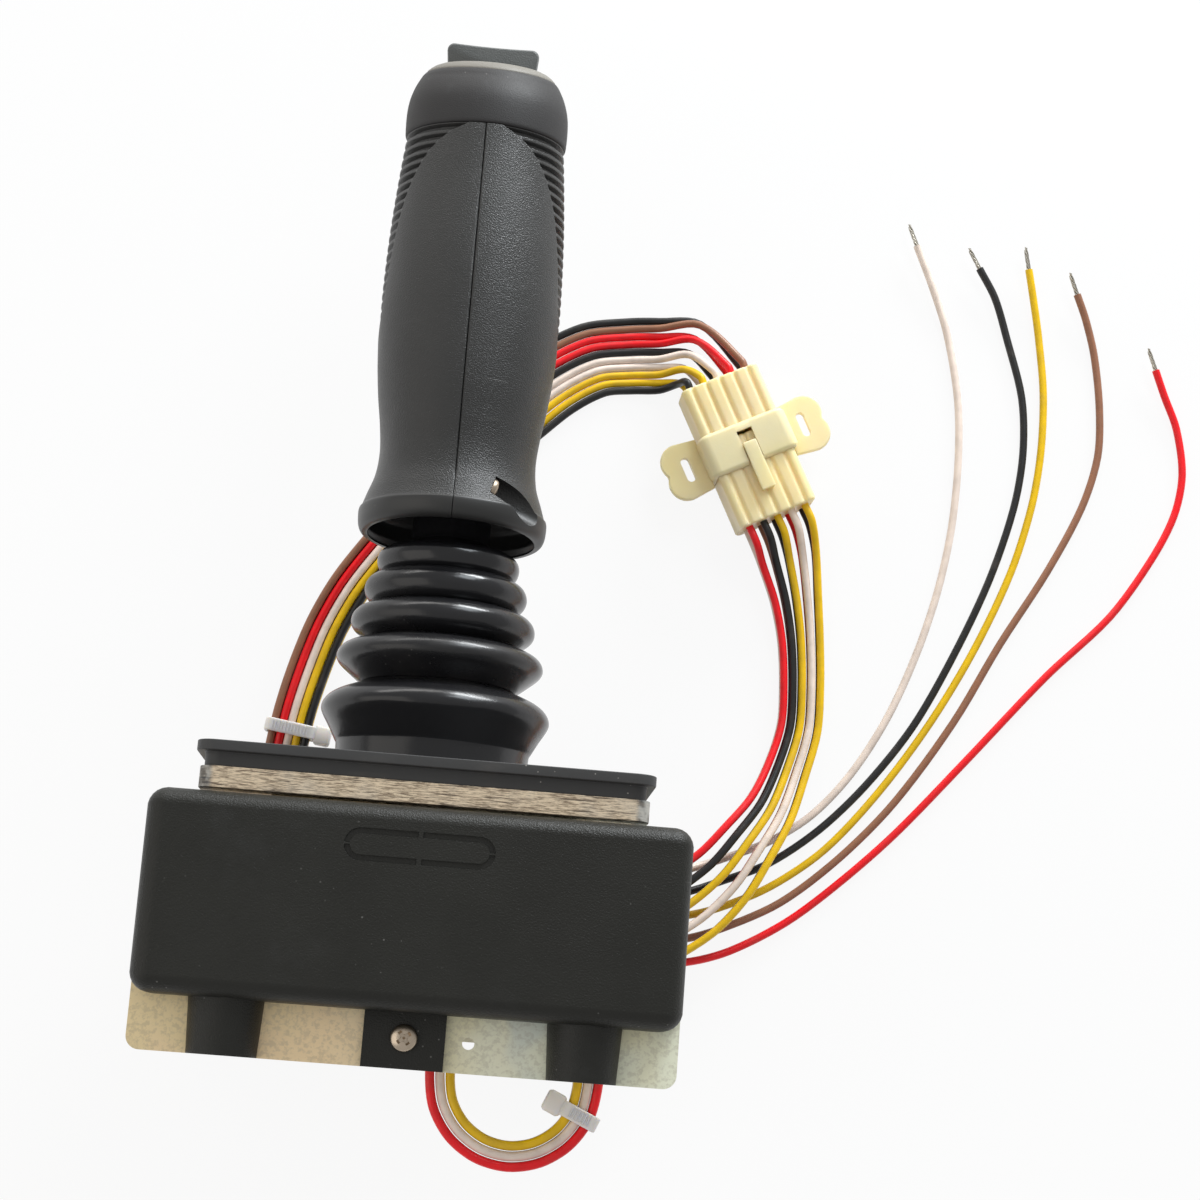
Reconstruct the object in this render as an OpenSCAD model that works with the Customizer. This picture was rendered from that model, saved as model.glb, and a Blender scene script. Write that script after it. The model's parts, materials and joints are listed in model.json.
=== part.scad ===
// Two-axis industrial joystick with a thumb rocker, lying on its rear cover.
//
// The stick is drawn standing: its stem along +Z, its front towards -Y, the top
// face of its mounting plate at Z = 0. lay() turns it onto its back, so that in
// the finished part +Y runs along the stem and +Z leaves the front.
// The harness is drawn where it lies, straight in the finished part's frame.

/* [Mounting plate] */
// Width of the plate
plate_w = 100; // [96:1:110]
// Depth of the plate
plate_d = 100; // [98:1:104]
// Thickness of the plate
plate_t = 4.8; // [4:0.1:6]
// Radius of the plate's corners
plate_r = 3.5; // [1:0.5:8]
// Distance between panel bolts across the plate
bolt_x = 84; // [78:1:88]
// Distance between panel bolts from front to rear
bolt_y = 68; // [64:1:76]
// Panel bolt hole
bolt_d = 5.5; // [4.5:0.1:6.5]
// Opening that the lever passes
plate_opening_d = 46; // [44:0.5:48]

/* [Gasket and boot] */
// How far the gasket overhangs the plate
gasket_over = 1.1; // [0.5:0.1:2]
// Height of the gasket's upright rim
gasket_rim = 2.4; // [1.5:0.1:4]
// Height of the gasket's undercut
gasket_under = 3.3; // [2.4:0.1:4]
// Depth of the gasket's undercut
gasket_undercut = 1.9; // [0.5:0.1:3]
// Wall of the rubber boot
boot_wall = 1.3; // [1:0.1:1.8]
// Radius of the boot's foot
boot_foot_r = 23.3; // [22:0.1:24]
// Height of the boot's lowest fold above the plate
boot_first_fold = 21.7; // [20:0.1:24]

/* [Handle] */
// Height of the skirt's lower edge above the plate
handle_z = 64.8; // [64:0.1:68]
// Height of the shells' upper edge above the plate
handle_top = 168; // [166:0.5:172]
// Wall of the moulded shells
shell_wall = 2.4; // [2:0.1:2.8]
// Pitch of the grip ribs
rib_pitch = 2.5; // [2.2:0.1:4]
// Width of a grip rib's crest
rib_land = 1.5; // [1:0.1:1.8]
// Depth of the grooves between the grip ribs
rib_depth = 0.8; // [0.4:0.1:1.2]
// How far the ribs' crests lie under the smooth front panel
rib_sink = 0.2; // [0.1:0.1:0.4]

/* [Switch cap] */
// Height of the cap on the shells
cap_h = 18.4; // [17:0.1:20]
// Radius of the cap at its lower edge
cap_r = 20.3; // [20:0.1:21]
// Radius of the cap's top face
cap_top_r = 15.4; // [15:0.1:16]
// Forward lean of the cap's top face
cap_lean = 12; // [8:1:14]
// Height of the bezel ring
bezel_h = 3.2; // [2.4:0.1:4]
// Length of the thumb rocker
rocker_l = 21; // [19:0.5:22]
// Width of the thumb rocker
rocker_w = 10; // [8:0.5:11]
// Height of the thumb rocker above the bezel
rocker_h = 4.4; // [3.5:0.1:5.5]

/* [Gimbal] */
// Depth of the tilt axes under the plate's top face
pivot_depth = 13; // [12.8:0.1:14]
// Diameter of the lever
lever_d = 8; // [7:0.1:9]
// Journal diameter of both yokes
journal_d = 8; // [7:0.1:9]
// Radial running clearance of the journals
journal_gap = 0.05; // [0.02:0.01:0.1]
// Width of the gimbal housing
housing_w = 60; // [58:1:64]
// Height of the gimbal housing
housing_h = 40; // [38:1:42]
// Wall of the gimbal housing
housing_wall = 5; // [4.5:0.5:6]
// Largest tilt of the lever either way
tilt_max = 15; // [10:1:15]

/* [Chassis and covers] */
// Sheet thickness of the chassis bracket
sheet_t = 1.5; // [1:0.1:2]
// Height of the webs' lower edge under the plate's top face
web_drop = 62.4; // [60:0.1:66]
// Distance of the webs' outer faces from the stem's axis
web_y = 44; // [43:0.5:46]
// Width of the front cover
cover_w = 120; // [114:0.5:124]
// How far the bracket's webs stand out past the front cover on each side
web_over = 0.25; // [0:0.05:1]
// How far the rear cover stands back from the front cover on each side
rear_inset = 1; // [0:0.5:3]
// Height of the front cover
cover_h = 44.4; // [42:0.1:47]
// Depth of the front cover
cover_d = 12; // [11:0.5:16]
// Radius of the front cover's edges
cover_r = 4.5; // [2:0.5:5.5]
// Wall of both covers
cover_wall = 2; // [1.6:0.1:2.5]
// Depth of the rear cover
rear_d = 22; // [20:0.5:26]

/* [Harness] */
// Diameter of an insulated wire
wire_d = 2.1; // [1.6:0.1:2.2]

/* [Hidden] */
$fn = 48;

// Heights and depths that follow from the driving sizes
pivot_z = -pivot_depth;
plate_bottom = -plate_t;
flange_bottom = plate_bottom - sheet_t;
gasket_h = gasket_rim + gasket_under;
rear_y = web_y + rear_d;
floor_z = -rear_y;
cover_top = plate_bottom - 1;
cover_bottom = cover_top - cover_h;
cover_front = web_y + cover_d;
web_w = cover_w + 2 * web_over;
rear_w = cover_w - 2 * rear_inset;
housing_top = flange_bottom;
housing_bottom = housing_top - housing_h;
housing_half = housing_w / 2;
housing_inner = housing_half - housing_wall;
wire_r = wire_d / 2;
seat_gap = 0.3;

// Screws: [thread diameter, head diameter, head height]
flat_4 = [4, 8.2, 2.2];
pan_3 = [3, 6, 1.9];
small_3 = [3, 5.5, 1.6];
small_28 = [2.8, 5.5, 1.6];
small_25 = [2.5, 5, 1.6];
hole_gap = 0.1;
nut_corners = 8;
nut_h = 3.2;
screw_past = 3;
thread_spare = 2;
core_r = 8.2;
core_bottom_z = 66;
core_top_z = 158;
lever_top_z = core_top_z - 6;

module lay() {
    rotate([-90, 0, 0]) children();
}

module rounded_rect(w, d, r) {
    inner_w = w / 2 - r;
    inner_d = d / 2 - r;
    square([w, 2 * inner_d], center = true);
    square([2 * inner_w, d], center = true);
    for (sx = [-1, 1], sy = [-1, 1]) translate([sx * inner_w, sy * inner_d]) circle(r);
}

module bolt_places() {
    for (sx = [-1, 1], sy = [-1, 1]) translate([sx * bolt_x / 2, sy * bolt_y / 2]) children();
}

// ---------------------------------------------------------------- base plate

sensor_w = 24;
sensor_h = 16;
sensor_t = 8;
sensor_z = flange_bottom - seat_gap - sensor_h / 2;
nut_room = [4, 1.4];
bracket_screw_x = (sensor_w + nut_corners) / 2 + nut_room[0];
bracket_screw_y = housing_half + nut_corners / 2 + nut_room[1];
housing_screw_in = 0.2;
housing_screw_x = housing_half - housing_wall / 2 - housing_screw_in;

module bracket_screw_places() {
    for (sx = [-1, 1], sy = [-1, 1]) translate([sx * bracket_screw_x, sy * bracket_screw_y]) children();
}

module housing_screw_places() {
    for (sx = [-1, 1], sy = [-1, 1]) {
        translate([sx * housing_screw_x, sy * housing_screw_x]) children();
    }
}

// A countersunk screw, or with a gap the hole that it fits
module countersunk(screw, length, gap = 0) {
    rotate_extrude() polygon([
        [0, 0], [screw[1] / 2 + gap, 0], [screw[0] / 2 + gap, -screw[2] - gap], [screw[0] / 2 + gap, -length],
        [0, -length]
    ]);
}

module screw_hole(screw, length) {
    cylinder(d = screw[0] + 2 * hole_gap, h = length);
}

module mounting_plate() {
    color("#b0a08c") lay() difference() {
        translate([0, 0, plate_bottom]) linear_extrude(plate_t) rounded_rect(plate_w, plate_d, plate_r);
        translate([0, 0, plate_bottom - 1]) {
            cylinder(d = plate_opening_d, h = plate_t + 2);
            bolt_places() cylinder(d = bolt_d, h = plate_t + 2);
        }
        bracket_screw_places() countersunk(flat_4, plate_t + 1, hole_gap);
        housing_screw_places() countersunk(flat_4, plate_t + 1, hole_gap);
    }
}

boot_flange_r = boot_foot_r + 5;
boot_flange_t = 1.4;

module panel_gasket() {
    lower_w = plate_w + 2 * (gasket_over - gasket_undercut);
    lower_d = plate_d + 2 * (gasket_over - gasket_undercut);
    color("#1f1f20") lay() difference() {
        union() {
            translate([0, 0, gasket_under]) linear_extrude(gasket_rim)
                rounded_rect(plate_w + 2 * gasket_over, plate_d + 2 * gasket_over, plate_r + gasket_over);
            linear_extrude(gasket_under) rounded_rect(lower_w, lower_d, plate_r);
        }
        translate([0, 0, -1]) cylinder(r = boot_foot_r + seat_gap, h = gasket_h + 2, $fn = 96);
        translate([0, 0, -1])
            cylinder(r = boot_flange_r + seat_gap, h = boot_flange_t + seat_gap + 1, $fn = 96);
        translate([0, 0, -1]) bolt_places() cylinder(d = bolt_d, h = gasket_h + 2);
    }
}

// ---------------------------------------------------------------- rubber boot
// Each fold is [height over the lowest fold, radius of its crest, radius of the valley above it]
boot_folds = [[0, 27.6, 18.6], [12.8, 25, 18.2], [22, 22.3, 16.6], [30.4, 19.8, 14.8], [38, 17.3, 10.5]];
boot_top_z = 70;
boot_cuff_r = 9.6;
boot_cuff_h = 3;
boot_foot_h = 7;
valley_lift = 0.6;
cuff_rise = 4;
boot_steps = 9;

function fold_low(i) =
    i == 0
        ? gasket_h + boot_foot_h
        : (boot_folds[i - 1][0] + boot_folds[i][0]) / 2 + boot_first_fold + valley_lift;
function fold_high(i) =
    i == len(boot_folds) - 1 ? boot_first_fold + boot_folds[i][0] + cuff_rise : fold_low(i + 1);
function low_valley(i) = i == 0 ? boot_foot_r : boot_folds[i - 1][2];

// A fold bulges quickly from the valley under it and rolls over its crest
function fold_line(i, inset) = [
    for (k = [0:boot_steps - 1])
        let (t = k / boot_steps, base = low_valley(i) * (1 - t) + boot_folds[i][2] * t,
             crest = boot_folds[i][1], lift = pow(sin(180 * pow(t, 0.9)), 0.62))
        [base + (crest - base) * lift - inset, fold_low(i) * (1 - t) + fold_high(i) * t]
];
function boot_line(inset) = [
    for (i = [0:len(boot_folds) - 1], p = fold_line(i, inset)) p
];

module boot() {
    last = boot_folds[len(boot_folds) - 1];
    outer = concat(
        [[boot_flange_r, 0], [boot_flange_r, boot_flange_t], [boot_foot_r, boot_flange_t]],
        boot_line(0),
        [
            [last[2], fold_high(len(boot_folds) - 1)],
            [boot_cuff_r, boot_top_z - boot_cuff_h], [boot_cuff_r, boot_top_z]
        ]
    );
    inner = concat(
        [[boot_foot_r - boot_wall, 0]], boot_line(boot_wall),
        [
            [last[2] - boot_wall, fold_high(len(boot_folds) - 1)],
            [core_r, boot_top_z - boot_cuff_h - 1], [core_r, boot_top_z]
        ]
    );
    color("#141414") lay() rotate_extrude($fn = 96)
        polygon(concat(outer, [for (k = [len(inner) - 1:-1:0]) inner[k]]));
}

// ---------------------------------------------------------------- chassis

web_corner_r = 3;
tab_w = 18;
cover_screw_up = 6.7;
cover_screw_z = -web_drop + cover_screw_up;
sight_hole_up = 6.6;
sight_hole_at = [14.1, -web_drop + sight_hole_up];
sight_hole_d = 2.7;
window_frame = [50, 18.4];
window = [cover_w - window_frame[0], cover_h - window_frame[1]];
window_z = -28;
boss_in = 20.7;
boss_x = cover_w / 2 - boss_in;

module web_outline(low) {
    top = flange_bottom;
    height = top - low;
    translate([0, (top + low) / 2]) difference() {
        rounded_rect(web_w, height, web_corner_r);
        translate([0, window_z - (top + low) / 2]) square(window, center = true);
    }
}

module standing_sheet(y, low) {
    translate([0, y, 0]) rotate([90, 0, 0]) linear_extrude(sheet_t) web_outline(low);
}

rear_web_past = 4;
rear_web_low = cover_bottom - rear_web_past;
flange_side = 4;
flange_w = housing_w + 2 * flange_side;

module chassis_bracket() {
    color("#c9b99b") lay() difference() {
        union() {
            standing_sheet(-web_y + sheet_t, -web_drop);
            standing_sheet(web_y, rear_web_low);
            translate([-flange_w / 2, -web_y, flange_bottom]) cube([flange_w, 2 * web_y, sheet_t]);
            for (y = [-web_y, web_y - sheet_t])
                translate([-flange_w / 2, y, flange_bottom - sheet_t]) cube([flange_w, sheet_t, 2 * sheet_t]);
        }
        translate([0, 0, flange_bottom - 1]) cylinder(d = plate_opening_d, h = sheet_t + 2);
        translate([0, 0, flange_bottom - 1]) bracket_screw_places() screw_hole(flat_4, sheet_t + 2);
        translate([0, 0, flange_bottom - 1]) housing_screw_places() screw_hole(flat_4, sheet_t + 2);
        translate([0, -web_y - 1, cover_screw_z]) rotate([-90, 0, 0]) screw_hole(pan_3, sheet_t + 2);
        translate([sight_hole_at[0], -web_y - 1, sight_hole_at[1]])
            rotate([-90, 0, 0]) cylinder(d = sight_hole_d, h = sheet_t + 2);
        rear_screw_places() translate([0, 0, -1]) screw_hole(small_25, sheet_t + 2);
        board_screw_places() translate([0, 0, -1]) screw_hole(small_3, sheet_t + 2);
    }
}

module bracket_screws() {
    color("#b8b8b8") lay() bracket_screw_places() {
        countersunk(flat_4, plate_t + sheet_t + screw_past);
        translate([0, 0, flange_bottom - nut_h]) difference() {
            cylinder(d = nut_corners, h = nut_h, $fn = 6);
            translate([0, 0, -1]) cylinder(d = flat_4[0], h = nut_h + 2);
        }
    }
}

// ---------------------------------------------------------------- front cover

boss_top_d = 17;
boss_bottom_d = 15.4;
mark_w = 33;
mark_h = 7.2;
mark_line = 1.3;
mark_web = 1;
mark_end_web = 0.4;
mark_z = -15.2;
mark_depth = 0.5;
tab_t = 2;

module obround(w, h) {
    for (sx = [-1, 1]) translate([sx * (w - h) / 2, 0]) circle(d = h);
    square([w - h, h], center = true);
}

module cover_box(w, low, high, back, front, r) {
    hull() {
        for (sx = [-1, 1], z = [low + r, high - r]) {
            translate([sx * (w / 2 - r), front + r, z]) sphere(r, $fn = 24);
            translate([sx * (w / 2 - r), back, z]) rotate([90, 0, 0]) cylinder(r = r, h = 0.1, $fn = 24);
        }
    }
}

module cover_boss(x) {
    intersection() {
        translate([x, -web_y, -web_drop])
            cylinder(d1 = boss_bottom_d, d2 = boss_top_d, h = cover_bottom + web_drop + 3);
        translate([x - boss_top_d, -web_y - boss_top_d, -web_drop])
            cube([2 * boss_top_d, boss_top_d, cover_h]);
    }
}

// Groove round an empty label field, bridged at its middle and its ends
module mark_groove() {
    difference() {
        obround(mark_w, mark_h);
        obround(mark_w - 2 * mark_line, mark_h - 2 * mark_line);
        square([mark_web, mark_h + 1], center = true);
        square([mark_w + 1, mark_end_web], center = true);
    }
}

module front_cover() {
    color("#343433") lay() difference() {
        union() {
            difference() {
                cover_box(cover_w, cover_bottom, cover_top, -web_y, -cover_front, cover_r);
                translate([-cover_w / 2 + cover_wall, -cover_front + cover_wall, cover_bottom + cover_wall])
                    cube([cover_w - 2 * cover_wall, cover_d, cover_h - 2 * cover_wall]);
            }
            for (x = [-boss_x, boss_x]) cover_boss(x);
            translate([-tab_w / 2, -web_y - tab_t, -web_drop])
                cube([tab_w, tab_t, cover_bottom + web_drop + 1]);
        }
        translate([0, -cover_front, mark_z]) rotate([90, 0, 0])
            translate([0, 0, -mark_depth]) linear_extrude(mark_depth + 1) mark_groove();
        translate([0, -web_y - tab_t - 1, cover_screw_z]) rotate([-90, 0, 0]) screw_hole(pan_3, tab_t + 2);
    }
}

// A cross-recessed screw whose head stands on Z = 0
module pan_screw(screw, length) {
    head_r = screw[1] / 2;
    head_h = screw[2];
    recess_w = 0.55 * screw[1];
    difference() {
        rotate_extrude() polygon([
            [0, -length], [screw[0] / 2, -length], [screw[0] / 2, 0], [head_r, 0], [head_r, head_h / 2],
            [head_r - head_h / 2, head_h], [0, head_h]
        ]);
        for (a = [0, 90]) rotate(a) translate([-recess_w / 2, -recess_w / 6, head_h * 0.45])
            cube([recess_w, recess_w / 3, head_h]);
    }
}

module cover_screw() {
    color("#c8c4ba") lay() translate([0, -web_y - tab_t, cover_screw_z]) rotate([90, 0, 0])
        pan_screw(pan_3, tab_t + sheet_t + screw_past);
}

// How much smaller than the cover the board is: [width, height, depth]
board_room = [24, 10.4, 8];
board_w = cover_w - board_room[0];
board_h = cover_h - board_room[1];
board_t = 1.6;
board_y = cover_front - board_room[2];
board_z = (cover_top + cover_bottom) / 2;
board_screw_inset = [4, 3.5];

module board_screw_places() {
    for (sx = [-1, 1], sz = [-1, 1])
        translate([
            sx * (board_w / 2 - board_screw_inset[0]), -web_y + sheet_t,
            board_z + sz * (board_h / 2 - board_screw_inset[1])
        ]) rotate([90, 0, 0]) children();
}

module circuit_board() {
    color("#1e5a34") lay() difference() {
        translate([-board_w / 2, -board_y - board_t, board_z - board_h / 2])
            cube([board_w, board_t, board_h]);
        board_screw_places() screw_hole(small_3, cover_d + board_t);
    }
}

// Components on the board: chips as [x, height, width, depth, thickness], capacitors as [x, height]
board_chips = [
    [-26, 3, 10, 10, 1.6], [-6, -4, 7, 9, 2],
    [10, 8, 3, 1.6, 1.2], [16, 8, 3, 1.6, 1.2], [22, 8, 3, 1.6, 1.2], [28, 8, 3, 1.6, 1.2]
];
board_capacitors = [[14, -6], [24, -6]];
capacitor_d = 6;
capacitor_h = 3.6;

module board_parts() {
    color("#202022") lay() translate([0, -board_y - board_t, board_z]) rotate([90, 0, 0]) {
        for (c = board_chips) translate([c[0], c[1], 0]) block([c[2], c[3]], 0, c[4]);
        for (c = board_capacitors) translate([c[0], c[1], 0]) cylinder(d = capacitor_d, h = capacitor_h);
    }
}

// Screws that also stand the board off the web
module board_screws() {
    standoff_h = board_y - web_y;
    color("#c0c0c0") lay() board_screw_places() {
        translate([0, 0, sheet_t]) difference() {
            cylinder(d = small_3[1], h = standoff_h, $fn = 6);
            translate([0, 0, -1]) cylinder(d = small_3[0], h = standoff_h + 2);
        }
        translate([0, 0, sheet_t + standoff_h + board_t])
            pan_screw(small_3, sheet_t + standoff_h + board_t + screw_past);
    }
}

// ---------------------------------------------------------------- rear cover

rear_corner_r = 5;
rear_lip = 1.2;
rear_screw_inset = 6;
rear_post_d = 7;
rear_post_hole = 12;

module rear_screw_places() {
    for (sx = [-1, 1], sz = [-1, 1])
        translate([
            sx * (rear_w / 2 - rear_screw_inset), web_y, board_z + sz * (cover_h / 2 - rear_screw_inset)
        ]) rotate([90, 0, 0]) children();
}

module rear_cover() {
    height = cover_top - cover_bottom;
    color("#2e2e2e") lay() difference() {
        union() {
            translate([0, rear_y - rear_lip, board_z]) rotate([90, 0, 0]) linear_extrude(rear_d - rear_lip)
                rounded_rect(rear_w, height, rear_corner_r);
            translate([0, rear_y, board_z]) rotate([90, 0, 0]) linear_extrude(rear_lip)
                rounded_rect(rear_w - 2 * rear_lip, height - 2 * rear_lip, rear_corner_r - rear_lip);
        }
        difference() {
            translate([-rear_w / 2 + cover_wall, web_y - 1, cover_bottom + cover_wall])
                cube([rear_w - 2 * cover_wall, rear_d - cover_wall + 1, height - 2 * cover_wall]);
            rear_screw_places() translate([0, 0, -rear_d]) cylinder(d = rear_post_d, h = rear_d);
        }
        rear_screw_places() translate([0, 0, -rear_post_hole]) screw_hole(small_25, rear_post_hole + 1);
        translate([-top_exit_x, exit_y, cover_top]) block(top_slot, -2 * cover_wall, 1);
        translate([rear_w / 2, exit_y, side_exit_z]) rotate([0, 90, 0]) block(side_slot, -2 * cover_wall, 1);
    }
}

module rear_cover_screws() {
    color("#b8b8b8") lay() rear_screw_places()
        translate([0, 0, sheet_t]) pan_screw(small_25, sheet_t + rear_post_hole - thread_spare);
}

top_exit_x = 39;
exit_y = rear_y - 9.2;
side_exit_z = -20;
top_slot = [15, 8];
side_slot = [31, 9];
grommet_out = 2.5;
grommet_in = 1.5;
grommet_lip = 0.8;
side_exit_x = rear_w / 2 + grommet_out;

module block(size, low, high) {
    translate([-size[0] / 2, -size[1] / 2, low]) cube([size[0], size[1], high - low]);
}

module grommet(slot) {
    block([slot[0] - 2 * hole_gap, slot[1] - 2 * hole_gap], -cover_wall - grommet_in, grommet_out);
    block([slot[0] + 2 * grommet_lip, slot[1] + 2 * grommet_lip], 0, grommet_out);
}

// Rubber blocks that the wires leave, seated in the rear cover's two cut-outs
module top_grommet() {
    color("#1a1a1a") lay() translate([-top_exit_x, exit_y, cover_top]) grommet(top_slot);
}

module side_grommet() {
    color("#1a1a1a") lay() translate([rear_w / 2, exit_y, side_exit_z]) rotate([0, 90, 0]) grommet(side_slot);
}

// ---------------------------------------------------------------- gimbal

gate_t = 3;
yoke_w = 32;
yoke_d = 25;
yoke_h = 9;
yoke_wall = 5.5;
bush_wall = 1.4;
bush_r = journal_d / 2 + bush_wall;
bush_flange_r = bush_r + 1;
shoulder_w = 1.6;
shoulder_r = journal_d / 2 + shoulder_w;
bush_flange_t = 1;
pin_d = 4;
hub_d = 13;
end_play = 0.2;
shoulder_at = housing_inner - bush_flange_t - end_play;
bail_drop = 24;
bail_t = 4;
bail_w = 15;
bail_arm_t = 4;
bail_boss = 2.3;
bail_arm_y = shoulder_at - bail_arm_t - bail_boss;
tail_d = 6;
tail_len = -pivot_depth - (housing_bottom - gate_t - 1);
slot_side_gap = 0.35;
slot_end_gap = 2.4;
bail_slot = 2 * ((bail_drop + bail_t) * tan(tilt_max) + tail_d / 2 / cos(tilt_max) + slot_end_gap);
magnet_t = 2.6;
magnet_d = journal_d - 1;
spring_wire = 1.4;
spring_turns = 4;
spring_leg = 13;
spring_clear = 1.5;
spring_at = housing_half + spring_clear;
journal_past = 9;
journal_end = housing_half + journal_past;
housing_thread = 12;
housing_window = [18, 8];
housing_window_up = 7;
gate_thread = 8;

module along_x() {
    rotate([0, 90, 0]) children();
}

module along_y() {
    rotate([-90, 0, 0]) children();
}

module gimbal_housing() {
    color("#8d8f92") lay() difference() {
        translate([-housing_half, -housing_half, housing_bottom]) cube([housing_w, housing_w, housing_h]);
        translate([-housing_inner, -housing_inner, housing_bottom - 1])
            cube([2 * housing_inner, 2 * housing_inner, housing_h + 2]);
        translate([-housing_half - 1, 0, pivot_z]) along_x() cylinder(r = bush_r, h = housing_w + 2);
        translate([0, -housing_half - 1, pivot_z]) along_y() cylinder(r = bush_r, h = housing_w + 2);
        translate([0, 0, housing_top - housing_thread]) housing_screw_places()
            cylinder(d = flat_4[0], h = housing_thread + 1);
        for (a = [0, 90]) rotate(a)
            translate([-housing_window[0] / 2, -housing_half - 1, housing_bottom + housing_window_up])
                cube([housing_window[0], housing_w + 2, housing_window[1]]);
        gate_screw_places() translate([0, 0, -1]) cylinder(d = small_28[0], h = gate_thread + 1);
    }
}

module housing_screws() {
    color("#b8b8b8") lay() housing_screw_places()
        countersunk(flat_4, -housing_top + housing_thread - thread_spare);
}

module bush(length) {
    difference() {
        union() {
            cylinder(r = bush_r, h = length);
            cylinder(r = bush_flange_r, h = bush_flange_t);
        }
        translate([0, 0, -1]) cylinder(r = journal_d / 2 + journal_gap, h = length + 2);
    }
}

// The flange of each bush lies on the housing's inner face
module bush_pair() {
    for (a = [0, 180]) rotate([0, 0, a]) translate([housing_inner - bush_flange_t, 0, 0]) along_x()
        bush(housing_wall + bush_flange_t);
}

module fore_aft_bushes() {
    color("#b08d4a") lay() translate([0, 0, pivot_z]) bush_pair();
}

module side_bushes() {
    color("#b08d4a") lay() translate([0, 0, pivot_z]) rotate(90) bush_pair();
}

// Ring that tilts fore and aft and carries the lever's pin
module fore_aft_yoke() {
    color("#9a9ca0") lay() translate([0, 0, pivot_z]) difference() {
        union() {
            translate([-yoke_w / 2, -yoke_d / 2, -yoke_h / 2]) cube([yoke_w, yoke_d, yoke_h]);
            translate([-journal_end, 0, 0]) along_x() cylinder(d = journal_d, h = journal_end);
            along_x() cylinder(d = journal_d, h = housing_half);
            for (a = [0, 180]) rotate([0, 0, a]) translate([yoke_w / 2, 0, 0]) along_x()
                cylinder(r = shoulder_r, h = shoulder_at - yoke_w / 2);
        }
        translate([-yoke_w / 2 + yoke_wall, -yoke_d / 2 + yoke_wall, -yoke_h])
            cube([yoke_w - 2 * yoke_wall, yoke_d - 2 * yoke_wall, 2 * yoke_h]);
        translate([0, -yoke_d, 0]) along_y() cylinder(d = pin_d, h = 2 * yoke_d);
    }
}

// Bail that follows the lever's sideways tilt through its slot
module side_yoke() {
    color("#8a8c8e") lay() translate([0, 0, pivot_z]) difference() {
        union() {
            for (s = [-1, 1]) {
                translate([-shoulder_r, s > 0 ? bail_arm_y : -bail_arm_y - bail_arm_t, -bail_drop])
                    cube([2 * shoulder_r, bail_arm_t, bail_drop]);
                translate([0, s > 0 ? bail_arm_y : -shoulder_at, 0]) along_y()
                    cylinder(r = shoulder_r, h = shoulder_at - bail_arm_y);
            }
            translate([0, bail_arm_y, 0]) along_y() cylinder(d = journal_d, h = journal_end - bail_arm_y);
            translate([0, -housing_half, 0]) along_y() cylinder(d = journal_d, h = housing_half - bail_arm_y);
            translate([-bail_w / 2, -bail_arm_y - bail_arm_t, -bail_drop - bail_t])
                cube([bail_w, 2 * (bail_arm_y + bail_arm_t), bail_t]);
        }
        translate([-tail_d / 2 - slot_side_gap, -bail_slot / 2, -bail_drop - bail_t - 1])
            cube([tail_d + 2 * slot_side_gap, bail_slot, bail_t + 2]);
    }
}

module lever() {
    hub_w = yoke_d - 2 * yoke_wall - 4 * end_play;
    color("#a4a6a8") lay() translate([0, 0, pivot_z]) difference() {
        union() {
            translate([0, -hub_w / 2, 0]) along_y() cylinder(d = hub_d, h = hub_w);
            cylinder(d = lever_d, h = lever_top_z - pivot_z);
            translate([0, 0, -tail_len]) cylinder(d = tail_d, h = tail_len);
        }
        translate([0, -hub_w, 0]) along_y() cylinder(r = pin_d / 2 + journal_gap, h = 2 * hub_w);
    }
}

module lever_pin() {
    color("#c4c4c4") lay() translate([0, -yoke_d / 2, pivot_z]) along_y() cylinder(d = pin_d, h = yoke_d);
}

module gate_screw_places() {
    for (sx = [-1, 1], sy = [-1, 1])
        translate([sx * housing_screw_x, sy * housing_screw_x, housing_bottom]) children();
}

gate_gap = 1.2;
gate_half = tail_len * sin(tilt_max) + tail_d / 2 + gate_gap;
gate_r = 3;
gate_opening_r = 4;

module gate_plate() {
    color("#3a3b3d") lay() translate([0, 0, housing_bottom - gate_t]) difference() {
        linear_extrude(gate_t) difference() {
            rounded_rect(housing_w, housing_w, gate_r);
            rounded_rect(2 * gate_half, 2 * gate_half, gate_opening_r);
        }
        translate([0, 0, -housing_bottom + gate_t]) gate_screw_places()
            translate([0, 0, -gate_t - 1]) screw_hole(small_28, gate_t + 2);
    }
}

module gate_screws() {
    color("#b8b8b8") lay() gate_screw_places() translate([0, 0, -gate_t]) rotate([180, 0, 0])
        pan_screw(small_28, gate_t + gate_thread - thread_spare);
}

sensor_ear = [3, 2.6];
sensor_r = 2;
magnet_room = 0.6;

// A sensor closes one bush and reads the magnet on the journal's end
module sensor_block() {
    difference() {
        linear_extrude(sensor_t) rounded_rect(sensor_w, sensor_h, sensor_r);
        translate([0, pivot_z - sensor_z, -1])
            cylinder(r = journal_d / 2 + magnet_room, h = magnet_t + magnet_room + 1);
        for (s = [-1, 1])
            translate([s * (sensor_w / 2 - sensor_ear[0]), s * (sensor_h / 2 - sensor_ear[0]), 1])
                cylinder(d = sensor_ear[1], h = sensor_t);
    }
}

module fore_aft_sensor() {
    color("#222326") lay() translate([housing_half, 0, sensor_z]) rotate([90, 0, 90]) sensor_block();
}

module side_sensor() {
    color("#222326") lay() translate([0, -housing_half, sensor_z]) rotate([90, 0, 0]) sensor_block();
}

module fore_aft_magnet() {
    color("#d0d0d4") lay() translate([housing_half, 0, pivot_z]) along_x()
        cylinder(d = magnet_d, h = magnet_t);
}

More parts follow.
